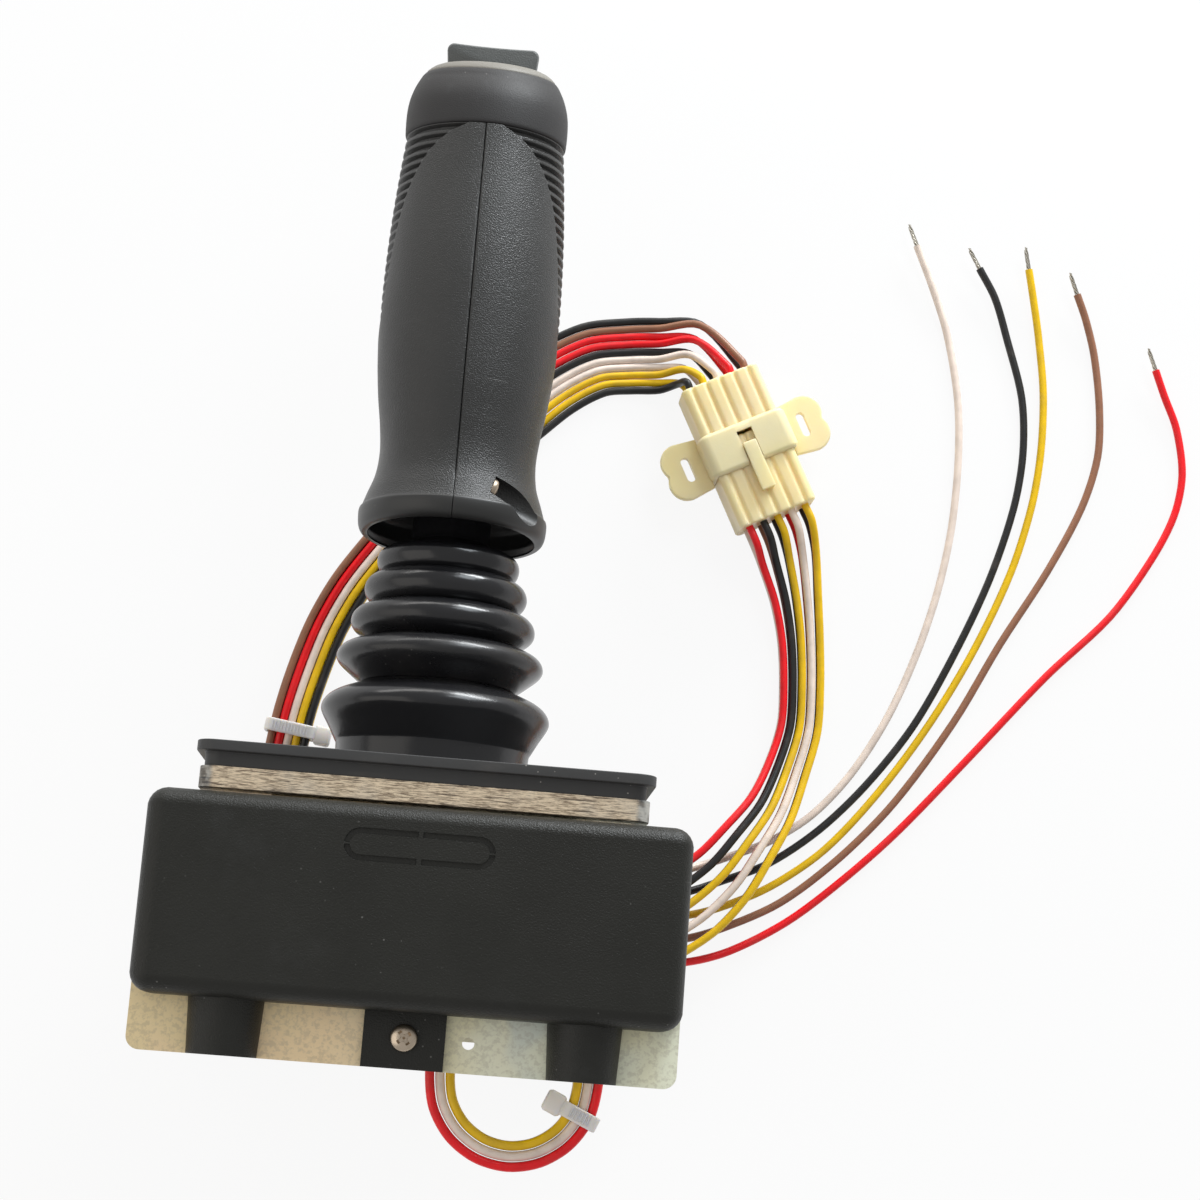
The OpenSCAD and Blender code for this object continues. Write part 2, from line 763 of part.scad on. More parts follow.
module side_magnet() {
    color("#d0d0d4") lay() translate([0, -housing_half - magnet_t, pivot_z]) along_y()
        cylinder(d = magnet_d, h = magnet_t);
}

// Closely wound torsion spring with both legs pointing down
module torsion_spring() {
    mean_r = journal_d / 2 + spring_wire;
    rotate_extrude() for (k = [0:spring_turns - 1])
        translate([mean_r, spring_wire * (k + 0.5)]) circle(d = spring_wire + 0.02, $fn = 24);
    for (k = [0, spring_turns - 1]) translate([k == 0 ? mean_r : -mean_r, 0, spring_wire * (k + 0.5)])
        rotate([-90, 0, 0]) cylinder(d = spring_wire, h = spring_leg);
}

module fore_aft_spring() {
    color("#9ea3a8") lay() translate([-spring_at, 0, pivot_z]) rotate([0, -90, 0]) rotate(90)
        torsion_spring();
}

module side_spring() {
    color("#9ea3a8") lay() translate([0, spring_at, pivot_z]) rotate([-90, 0, 0]) torsion_spring();
}

// ---------------------------------------------------------------- handle

// Sections of the handle: [height, half width, half depth in front, half depth behind]
handle_sections = [
    [64.8, 20.6, 20.8, 19.4], [66, 22.2, 22.6, 20.8], [68, 23.2, 23.8, 21.6], [71, 23.1, 23.6, 21.4],
    [75, 21.7, 21.9, 20.2], [80, 19.9, 20.2, 19], [86, 19.3, 19.7, 18.4], [93, 19.9, 20.2, 18.4],
    [101, 21.1, 21, 18.6], [110, 22, 21.6, 18.8], [122, 22.6, 22, 19], [134, 22.5, 21.8, 19],
    [146, 22, 21.2, 18.9], [156, 21.3, 20.6, 18.8], [163, 20.7, 20.3, 19.2], [168, 20.2, 20.2, 19.6]
];
// Where the smooth front panel ends: [height, angle from the front]
panel_edge = [
    [64.8, 80], [98, 80], [107, 102], [112, 90], [117, 80], [123, 71], [131, 68], [138, 64], [145, 60],
    [152, 54], [157, 45], [163, 34], [168, 16]
];
first_rib = 107;
last_section = len(handle_sections) - 1;
handle_scale_z = (handle_top - handle_z) / (handle_sections[last_section][0] - handle_sections[0][0]);

function shell_z(height) = handle_z + (height - handle_sections[0][0]) * handle_scale_z;
function size_at(z, i) = lookup(z, [for (s = handle_sections) [shell_z(s[0]), s[i]]]);
function edge_at(z) = lookup(z, [for (p = panel_edge) [shell_z(p[0]), p[1]]]);

// Each column of a half shell's grid keeps to one side of the panel's edge
columns = 18;
panel_columns = 7;
edge_step = 2.2;
function column_angle(z, k) =
    let (edge = edge_at(z), rest = edge + edge_step)
    k <= panel_columns
        ? edge * k / panel_columns
        : rest + (180 - rest) * (k - panel_columns - 1) / (columns - panel_columns - 1);

// Rings of the grid as [height, depth under the smooth skin]: plain ones, then three to a rib
rib_from = shell_z(first_rib);
rib_count = floor((handle_top - rib_from - 0.5) / rib_pitch);
rib_groove = rib_pitch - rib_land;
plain_rings = [for (s = handle_sections) [shell_z(s[0]), 0]];
ribbed_rings = concat(
    [for (r = plain_rings) if (r[0] < rib_from - rib_groove) r],
    [[rib_from - rib_groove / 2, 0]],
    [for (k = [0:rib_count - 1], step = [[0, rib_depth], [rib_groove / 2, 0], [rib_groove / 2 + rib_land, 0]])
        [rib_from + k * rib_pitch + step[0], rib_sink + step[1]]
    ],
    [[handle_top, rib_sink]]
);
inner_rings = concat([for (i = [0:2:last_section - 1]) plain_rings[i]], [plain_rings[last_section]]);

function skin_point(ring, k, inset, side) =
    let (a = column_angle(ring[0], k), dip = inset + (k > panel_columns ? ring[1] : 0))
    [side * (size_at(ring[0], 1) - dip) * sin(a), -cos(a) * (size_at(ring[0], cos(a) > 0 ? 2 : 3) - dip)];

// Half of the handle's form, which passes the seam by past
function half_ring(ring, inset, side, past) =
    let (skin = [for (k = [0:columns]) skin_point(ring, k, inset, side)])
    past > 0 ? concat(skin, [[-side * past, skin[columns][1]], [-side * past, skin[0][1]]]) : skin;

function ring_faces(rings, n) = [
    for (i = [0:rings - 2], k = [0:n - 1]) let (j = (k + 1) % n)
        [i * n + k, i * n + j, (i + 1) * n + j, (i + 1) * n + k]
];
function loft_faces(rings, n) = concat(
    ring_faces(rings, n),
    [[for (k = [n - 1:-1:0]) k], [for (k = [0:n - 1]) (rings - 1) * n + k]]
);
function turned(faces) = [for (f = faces) [for (k = [len(f) - 1:-1:0]) f[k]]];

module half_form(rings, inset, side, past = 0) {
    last = len(rings) - 1;
    points = [
        for (i = [0:last], p = half_ring(rings[i], inset, side, past))
            [p[0], p[1], rings[i][0] + (i == 0 ? -past : (i == last ? past : 0))]
    ];
    faces = loft_faces(last + 1, columns + (past > 0 ? 3 : 1));
    polyhedron(points, side > 0 ? turned(faces) : faces);
}

// Oblique counterbore in the right side of the skirt
skirt_screw_at = [9.5, -17, 75.2];
skirt_screw_turn = [117, 14];
counterbore_d = 6.8;
counterbore_l = 20;
boss_seat_t = 1.6;
boss_l = 14;
skirt_screw_size = [2.6, 5.4, 2];
skirt_screw_l = 5;

module skirt_axis() {
    translate(skirt_screw_at) rotate([0, 0, skirt_screw_turn[1]]) rotate([0, skirt_screw_turn[0], 0])
        children();
}

// Pegs of the core that reach across to both shells, and its stiffening fins
peg_z = [112, 148];
peg_d = 6;
fin_z = [92, 130];
fin_r = 15;
fin_t = 2.4;
peg_gap = 0.7;

function peg_reach(z) = size_at(z, 1) - shell_wall - peg_gap;

module handle_shell(side) {
    difference() {
        union() {
            difference() {
                half_form(ribbed_rings, 0, side);
                half_form(inner_rings, shell_wall, side, 1);
            }
            if (side > 0) intersection() {
                half_form(inner_rings, shell_wall / 2, side);
                skirt_axis() translate([0, 0, -boss_seat_t])
                    cylinder(d = counterbore_d + 2 * boss_seat_t, h = boss_l);
            }
        }
        if (side > 0) skirt_axis() {
            cylinder(d = counterbore_d, h = counterbore_l);
            translate([0, 0, -skirt_screw_l]) cylinder(d = skirt_screw_size[0], h = 2 * skirt_screw_l);
        }
    }
}

module handle_left() {
    color("#3c3c3c") lay() handle_shell(-1);
}

module handle_right() {
    color("#3c3c3c") lay() handle_shell(1);
}

// Moulded core that the lever is pressed into and that the shells close around
module grip_core() {
    color("#2a2a2c") lay() difference() {
        union() {
            translate([0, 0, core_bottom_z]) cylinder(r = core_r, h = core_top_z - core_bottom_z);
            for (z = peg_z) translate([-peg_reach(z), 0, z]) along_x()
                cylinder(d = peg_d, h = 2 * peg_reach(z));
            for (z = fin_z) translate([0, 0, z]) cylinder(r = fin_r, h = fin_t);
        }
        translate([0, 0, core_bottom_z - 1]) cylinder(d = lever_d, h = lever_top_z - core_bottom_z + 1);
    }
}

module skirt_screw() {
    color("#d8d4ca") lay() skirt_axis() pan_screw(skirt_screw_size, skirt_screw_l);
}

// ---------------------------------------------------------------- switch cap

cap_top_z = handle_top + cap_h;

module leaning() {
    translate([0, 0, cap_top_z]) rotate([cap_lean, 0, 0]) children();
}

// Rings of the cap's side: [share of its height, growth of its radius]; and its upper edge
cap_rings = [[0, 0], [0.3, 0.2], [0.55, -0.7]];
cap_edge = [2.6, 2];
cap_skin = 0.2;

module switch_cap() {
    color("#4b4b4e") lay() difference() {
        hull() {
            for (ring = cap_rings) translate([0, 0, handle_top + cap_h * ring[0]])
                cylinder(r = cap_r + ring[1], h = cap_skin);
            leaning() translate([0, 0, -cap_edge[0]]) cylinder(r = cap_top_r + cap_edge[1], h = cap_skin);
            leaning() translate([0, 0, -cap_skin]) cylinder(r = cap_top_r, h = cap_skin);
        }
        leaning() block([switch_l + 2 * switch_gap, switch_w + 2 * switch_gap], -cap_h - cap_r, 1);
    }
}

switch_l = 24;
switch_w = 13;
switch_h = 16;
switch_gap = 0.2;
rocker_gap = 0.5;
rocker_slot = [rocker_l + 2 * rocker_gap, rocker_w + 2 * rocker_gap];

bezel_r = cap_top_r - 0.4;
bezel_slope = 2.2;

module bezel() {
    color("#7d7873") lay() leaning() difference() {
        rotate_extrude($fn = 64) polygon([
            [0, 0], [bezel_r, 0], [bezel_r, bezel_h * 0.35], [bezel_r - bezel_slope, bezel_h], [0, bezel_h]
        ]);
        block(rocker_slot, -1, bezel_h + 1);
    }
}

rocker_pivot = -1.2;
rocker_pin_d = 2;

pocket_h = 7;

module switch_body() {
    color("#1c1c1e") lay() leaning() difference() {
        block([switch_l, switch_w], -switch_h, 0);
        block(rocker_slot, -pocket_h, 1);
        translate([0, -switch_w, rocker_pivot]) along_y() cylinder(d = rocker_pin_d, h = 2 * switch_w);
    }
}

rocker_edge = 0.9;
rocker_taper = 0.6;
rocker_dish = 0.7;
rocker_foot = [4, 2.6];

// The button's body narrows downwards so that it can rock
module rocker() {
    top = bezel_h + rocker_h;
    half = rocker_l / 2;
    color("#646669") lay() leaning() difference() {
        translate([0, rocker_w / 2, 0]) rotate([90, 0, 0]) linear_extrude(rocker_w) polygon([
            [-half + rocker_edge, top], [-half, top - rocker_edge], [-half + rocker_taper, bezel_h / 2],
            [-rocker_foot[0], rocker_pivot - rocker_foot[1]], [rocker_foot[0], rocker_pivot - rocker_foot[1]],
            [half - rocker_taper, bezel_h / 2], [half, top - rocker_edge], [half - rocker_edge, top],
            [half / 2, top - rocker_dish * 3 / 4], [0, top - rocker_dish],
            [-half / 2, top - rocker_dish * 3 / 4]
        ]);
        translate([0, -rocker_w, rocker_pivot]) along_y()
            cylinder(r = rocker_pin_d / 2 + journal_gap, h = 2 * rocker_w);
    }
}

module rocker_pin() {
    color("#c0c0c0") lay() leaning() translate([0, -switch_w / 2, rocker_pivot]) along_y()
        cylinder(d = rocker_pin_d, h = switch_w);
}

// ---------------------------------------------------------------- connector

plug_turn = 27;
way_pitch = 4.1;
row_pitch = 5.2;
ways = 5;
shroud_w = 25.4;
shroud_h = 15.6;
housing_across = 22.4;
housing_thick = 12.6;
plug_at = [side_exit_x + 15.5, 111, floor_z + shroud_h / 2];
cap_len = 20;
shroud_len = 12;
plug_len = 21;

module at_plug() {
    translate(plug_at) rotate([0, 0, plug_turn]) children();
}

// The same placing as a function, for the wire ends
function plug_point(u, v, w) = [
    plug_at[0] + u * cos(plug_turn) - v * sin(plug_turn),
    plug_at[1] + u * sin(plug_turn) + v * cos(plug_turn),
    plug_at[2] + w
];
function column(k) = floor(k / 2) - (ways - 1) / 2;
function way_u(k) = -column(k) * way_pitch;
function way_w(k) = (k % 2 - 0.5) * row_pitch;

ear_l = shroud_len + 4;
ear_w = 10;
ear_t = 2.2;
ear_slot = [7, 2.4];
rib_cut = 0.6;
connector_gap = 0.3;
latch_w = 4;
latch_l = 14;
latch_cut = 5;

// Mounting ear with a slot and two round corners
module ear(s) {
    translate([s * (shroud_w / 2 + ear_w * 0.4), 0, 0]) linear_extrude(ear_t, center = true) difference() {
        union() {
            square([ear_w * 0.9, ear_l], center = true);
            for (v = [-1, 1]) translate([s * ear_w * 0.2, v * (ear_l - ear_w) / 2]) circle(d = ear_w);
        }
        translate([s * 0.5, 0]) rotate(90) obround(ear_slot[0], ear_slot[1]);
    }
}

// Grooves between the ways, on both broad sides of a housing
module way_grooves(from, length) {
    for (k = [0:ways], s = [-1, 1])
        translate([(k - ways / 2) * way_pitch - 0.5, from, s * (housing_thick / 2 + 0.5 - rib_cut) - 0.5])
            cube([1, length, 1]);
}

module connector_receptacle() {
    color("#eae0c4") at_plug() difference() {
        union() {
            translate([-housing_across / 2, shroud_len / 2 - 1, -housing_thick / 2])
                cube([housing_across, cap_len - shroud_len / 2 + 1, housing_thick]);
            translate([-shroud_w / 2, -shroud_len / 2, -shroud_h / 2]) cube([shroud_w, shroud_len, shroud_h]);
            for (s = [-1, 1]) ear(s);
        }
        translate([0, -shroud_len / 2 - 1, 0]) rotate([-90, 0, 0])
            block([housing_across + 2 * connector_gap, housing_thick + 2 * connector_gap], 0, shroud_len - 1);
        way_grooves(shroud_len / 2 + 2, cap_len);
        translate([0, latch_cut - shroud_len / 2, housing_thick / 2])
            block([latch_w + 2 * connector_gap, 2 * latch_cut], 0, shroud_h);
    }
}

module connector_plug() {
    inside = shroud_len - 3;
    color("#efe6cc") at_plug() difference() {
        union() {
            translate([-housing_across / 2, -plug_len, -housing_thick / 2])
                cube([housing_across, plug_len - shroud_len / 2 + inside, housing_thick]);
            translate([-latch_w / 2, -plug_len + 7, housing_thick / 2 + 0.8]) cube([latch_w, latch_l, 1.2]);
            translate([-latch_w / 2, -plug_len + 7, housing_thick / 2 - 0.5]) cube([latch_w, 2, 2]);
        }
        way_grooves(-plug_len - 1, plug_len - shroud_len / 2 - 1);
    }
}

// ---------------------------------------------------------------- harness
// Every route is a list of stations chosen by hand, in the finished part's frame.
// A bundle's station is [x, y, lift, gap, stack]: the middle of the bundle, the height of
// its lowest wires over the resting surface, the gap between its columns, and how far
// its two layers stand over each other (90) or lie side by side (0). x counts from the
// grommet that the bundle leaves.

layer = wire_d + 0.15;

upper_way = [
    [0, -3.3, 8, 2.3, 90], [0, 3, 7.5, 2.3, 90], [-1, 11, 5, 2.3, 90], [-0.5, 18, 3, 2.25, 90],
    [1, 29, 3, 2.25, 90], [3.5, 41, 1, 2.3, 90], [7, 53, 0, 2.3, 90], [12, 64, 0, 2.3, 90],
    [19, 75, 0, 2.3, 90], [27, 86, 0, 2.3, 90], [35, 96, 0, 2.3, 80], [43, 106, 0, 2.3, 50],
    [52, 117, 0, 2.25, 20], [62, 127, 0, 2.2, 0], [73, 134, 0, 2.2, 0], [83, 136, 0, 2.2, 0],
    [91, 136.5, 1, 2.25, 15], [99, 137, 2.6, 3.6, 75]
];
lower_way = [
    [29.5, 82, 3, 3.8, 90], [32.5, 71, 1, 3, 90], [34.5, 60, 0, 2.6, 90], [35.5, 48, 0, 2.5, 90],
    [35.5, 36, 0, 2.5, 90], [32.5, 24, 2, 2.6, 90], [28.5, 13, 5, 3, 90], [22.5, 3, 7.5, 3.6, 90],
    [16.5, -6, 8.3, 4.2, 90], [8.5, -14, 8.4, 4.8, 90]
];

function flat(v) = [v[0], v[1]];
function unit(v) = v / norm(v);
function moved(way, x) = [for (s = way) [s[0] + x, s[1], s[2], s[3], s[4]]];
function station(s, before, after, k) =
    let (h = unit(flat(after) - flat(before)),
         off = s[3] * (column(k) * (1 + cos(s[4])) + (k % 2 - 0.5) * cos(s[4])))
    [s[0] + h[1] * off, s[1] - h[0] * off, floor_z + wire_r + s[2] + (k % 2) * layer * sin(s[4])];

// A wire's way from the grommet to the plug, and from the plug back to the other grommet
function upper_route(k) =
    let (way = moved(upper_way, -top_exit_x), last = len(way) - 1, mouth = plug_point(0, cap_len + 4, 0))
    concat(
        [for (i = [0:last]) station(way[i], way[max(i - 1, 0)], i < last ? way[i + 1] : mouth, k)],
        [plug_point(way_u(k), cap_len + 2.5, way_w(k)), plug_point(way_u(k), cap_len, way_w(k))]
    );
function lower_route(k) =
    let (way = moved(lower_way, side_exit_x), last = len(way) - 1, mouth = plug_point(0, -plug_len - 5, 0),
         exit = [side_exit_x, side_exit_z])
    concat(
        [plug_point(way_u(k), -plug_len, way_w(k)), plug_point(way_u(k), -plug_len - 5, way_w(k))],
        [for (i = [0:last]) station(way[i], i > 0 ? way[i - 1] : mouth, i < last ? way[i + 1] : exit, k)],
        [[side_exit_x, side_exit_z + column(k) * 6, floor_z + wire_r + 8.5 + (k % 2) * layer]]
    );

// A lead's station is [x from the side grommet, y, lift]
lead_routes = [
    [[0, -7, 6], [6.5, -5, 4], [16.5, -1, 1], [29.5, 5, 0], [40.5, 13, 0], [50.5, 25, 0], [59.5, 41, 0],
     [66.5, 59, 0], [71.5, 77, 0], [74.5, 95, 0], [75.5, 114, 0], [74.5, 132, 0], [70.5, 151, 0],
     [65.5, 164, 1], [60.5, 175, 2]],
    [[0, -12, 6], [6.5, -11, 4], [16.5, -7, 1], [29.5, -1, 0], [42.5, 9, 0], [54.5, 22, 0], [66.5, 39, 0],
     [76.5, 59, 0], [85.5, 81, 0], [91.5, 102, 0], [93.5, 118, 0], [92.5, 134, 0], [87.5, 151, 0],
     [83.5, 162, 1], [78.5, 170, 2]],
    [[0, -17, 6], [6.5, -17, 4], [16.5, -14, 1], [30.5, -7, 0], [44.5, 4, 0], [58.5, 21, 0], [71.5, 41, 0],
     [82.5, 62, 0], [91.5, 84, 0], [96.5, 103, 0], [98.5, 119, 0], [98.5, 136, 0], [96.5, 152, 0],
     [94.5, 162, 1], [92.5, 171, 2]],
    [[0, -23, 6], [7.5, -23, 4], [18.5, -19, 1], [33.5, -11, 0], [48.5, 2, 0], [62.5, 18, 0], [77.5, 41, 0],
     [89.5, 64, 0], [101.5, 85, 0], [110.5, 104, 0], [114.5, 119, 0], [114.5, 133, 0], [112.5, 148, 0],
     [109.5, 158, 1], [106.5, 165, 2]],
    [[0, -29, 6], [8.5, -29, 4], [20.5, -25, 1], [35.5, -16, 0], [49.5, -4, 0], [63.5, 10, 0], [81.5, 31, 0],
     [102.5, 56, 0], [119.5, 74, 0], [130.5, 91, 0], [136.5, 104, 0], [138.5, 116, 0], [136.5, 129, 0],
     [132.5, 138, 1], [129.5, 145, 2]]
];
tip_length = 7;

function lead_route(k) = [for (p = lead_routes[k]) [side_exit_x + p[0], p[1], floor_z + wire_r + p[2]]];

loop_middle = [25, -63];
loop_inner_r = 14.2;
loop_z = 34.2;
loop_steps = 8;
loop_start_y = sensor_z - sensor_h / 2;
loop_end_y = -36;
loop_pitch = wire_d + 0.2;
loop_mid_r = loop_inner_r + loop_pitch;
loop_down = [loop_start_y, -32, -42, -53];
loop_up = [-53, -44, loop_end_y];

function loop_radius(k) = loop_inner_r + (k % 3) * loop_pitch;
function loop_height(k) = loop_z - floor(k / 3) * layer;
function loop_route(k) = concat(
    [for (y = loop_down) [loop_middle[0] - loop_radius(k), y, loop_height(k)]],
    [for (i = [0:loop_steps])
        let (a = 180 + 180 * i / loop_steps)
        [loop_middle[0] + loop_radius(k) * cos(a), loop_middle[1] + loop_radius(k) * sin(a), loop_height(k)]],
    [for (y = loop_up) [loop_middle[0] + loop_radius(k), y, loop_height(k)]]
);

// One closed tube through the route's points
wire_sides = 6;

function cross3(a, b) = [a[1] * b[2] - a[2] * b[1], a[2] * b[0] - a[0] * b[2], a[0] * b[1] - a[1] * b[0]];
function tangent(route, i) = unit(route[min(i + 1, len(route) - 1)] - route[max(i - 1, 0)]);
function ring_points(route, i, r, face) =
    let (t = i == 0 && face[0] ? face[0] : (i == len(route) - 1 && face[1] ? face[1] : tangent(route, i)),
         side = unit(cross3([0, 0, 1], t)), up = cross3(t, side))
    [for (k = [0:wire_sides - 1])
        let (a = 360 * (k + 0.5) / wire_sides) route[i] + r * cos(a) * side + r * sin(a) * up];

module tube(route, r, face = [false, false]) {
    points = [for (i = [0:len(route) - 1], p = ring_points(route, i, r, face)) p];
    polyhedron(points, [
        for (f = loft_faces(len(route), wire_sides)) [for (k = [len(f) - 1:-1:0]) f[k]]
    ]);
}

plug_axis = [sin(plug_turn), -cos(plug_turn), 0];

module upper_wires(colour, wires) {
    color(colour) for (k = wires) tube(upper_route(k), wire_r, [[0, 1, 0], plug_axis]);
}

module lower_wires(colour, wires) {
    color(colour) for (k = wires) tube(lower_route(k), wire_r, [plug_axis, [-1, 0, 0]]);
}

red = "#dd1c30";
black = "#262626";
yellow = "#f2c800";
white = "#efdcd0";
brown = "#a8785a";

module upper_red() { upper_wires(red, [2, 3]); }
module upper_black() { upper_wires(black, [0, 4, 9]); }
module upper_yellow() { upper_wires(yellow, [7, 8]); }
module upper_white() { upper_wires(white, [5, 6]); }
module upper_brown() { upper_wires(brown, [1]); }
module lower_red() { lower_wires(red, [2, 9]); }
module lower_black() { lower_wires(black, [0, 4, 7]); }
module lower_yellow() { lower_wires(yellow, [1, 5]); }
module lower_white() { lower_wires(white, [3, 8]); }
module lower_brown() { lower_wires(brown, [6]); }

lead_colours = [white, black, yellow, brown, red];

module leads() {
    for (k = [0:4]) color(lead_colours[k]) tube(lead_route(k), wire_r, [[1, 0, 0], false]);
}

// Stripped strands, twisted and tinned
module bare_ends() {
    color("#b9b4aa") for (k = [0:4]) {
        route = lead_route(k);
        end = route[len(route) - 1];
        dir = tangent(route, len(route) - 1);
        tube([end, end + dir * tip_length], wire_r * 0.62, [dir, dir]);
    }
}

loop_colours = [yellow, yellow, red, white, black, white];

module loop_wires() {
    for (k = [0:5]) color(loop_colours[k]) tube(loop_route(k), wire_r, [[0, -1, 0], [0, 1, 0]]);
}

header_wall = 1.45;
header_h = 8;

// Header that the loop plugs into, on the inner face of the front web
module loop_header() {
    low = loop_z - layer - wire_r - header_wall;
    width = 2 * (loop_pitch + wire_r + header_wall);
    color("#e8e2d2") translate([loop_middle[0] + loop_mid_r - width / 2, loop_end_y, low])
        cube([width, header_h, web_y - sheet_t - low]);
}

tie_gap = 0.3;
tie_wall = 0.9;
tie_width = 3.4;
tie_head = 4.4;

// Tie round two layers of wires that are `across` wide between their outer axes
module tie(across, head_side) {
    w = across + wire_d + 2 * tie_gap;
    h = layer + wire_d + 2 * tie_gap;
    linear_extrude(tie_width, center = true) difference() {
        rounded_rect(w + 2 * tie_wall, h + 2 * tie_wall, wire_r + tie_wall);
        rounded_rect(w, h, wire_r);
    }
    translate([head_side * (w / 2 + tie_head / 2 + tie_wall / 2), 0, 0]) cube(tie_head, center = true);
}

bundle_tie_at = [0.3, 24, floor_z + 3 + wire_r + layer / 2];
bundle_tie_turn = -8;
bundle_across = 4 * 2.3;

module bundle_tie() {
    color("#ece9e2")
        translate(bundle_tie_at - [top_exit_x, 0, 0]) rotate([90, 0, bundle_tie_turn]) tie(bundle_across, 1);
}

module loop_tie() {
    color("#ece9e2") translate([loop_middle[0], loop_middle[1], loop_z - layer / 2]) rotate([0, 0, -24])
        translate([loop_mid_r, 0, 0]) rotate([90, 0, 0]) tie(2 * loop_pitch, -1);
}

mounting_plate();
panel_gasket();
boot();
chassis_bracket();
bracket_screws();
front_cover();
cover_screw();
circuit_board();
board_parts();
board_screws();
rear_cover();
rear_cover_screws();
side_grommet();
top_grommet();
gimbal_housing();
housing_screws();
fore_aft_bushes();
side_bushes();
fore_aft_yoke();
side_yoke();
lever();
lever_pin();
gate_plate();
gate_screws();
fore_aft_sensor();
side_sensor();
fore_aft_magnet();
side_magnet();
fore_aft_spring();
side_spring();
loop_header();
grip_core();
handle_left();
handle_right();
skirt_screw();
switch_cap();
bezel();
switch_body();
rocker();
rocker_pin();
connector_receptacle();
connector_plug();
bundle_tie();
loop_tie();
bare_ends();
upper_red();
upper_black();
upper_yellow();
upper_white();
upper_brown();
lower_red();
lower_black();
lower_yellow();
lower_white();
lower_brown();
leads();
loop_wires();
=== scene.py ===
"""A two-axis industrial joystick lying on its rear cover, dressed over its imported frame.

Lengths are written in millimetres and turned into metres where they leave for Blender.
The stick is described standing: x to the right, y away from its front, z up the stem.
lay() turns such a point onto the stick's back, into the row frame. The harness is
described straight in the row frame, where it lies.
"""

import json
import logging
import math
from contextlib import contextmanager
from dataclasses import dataclass, field
from enum import Enum
from typing import Callable, Iterable, Iterator, Sequence

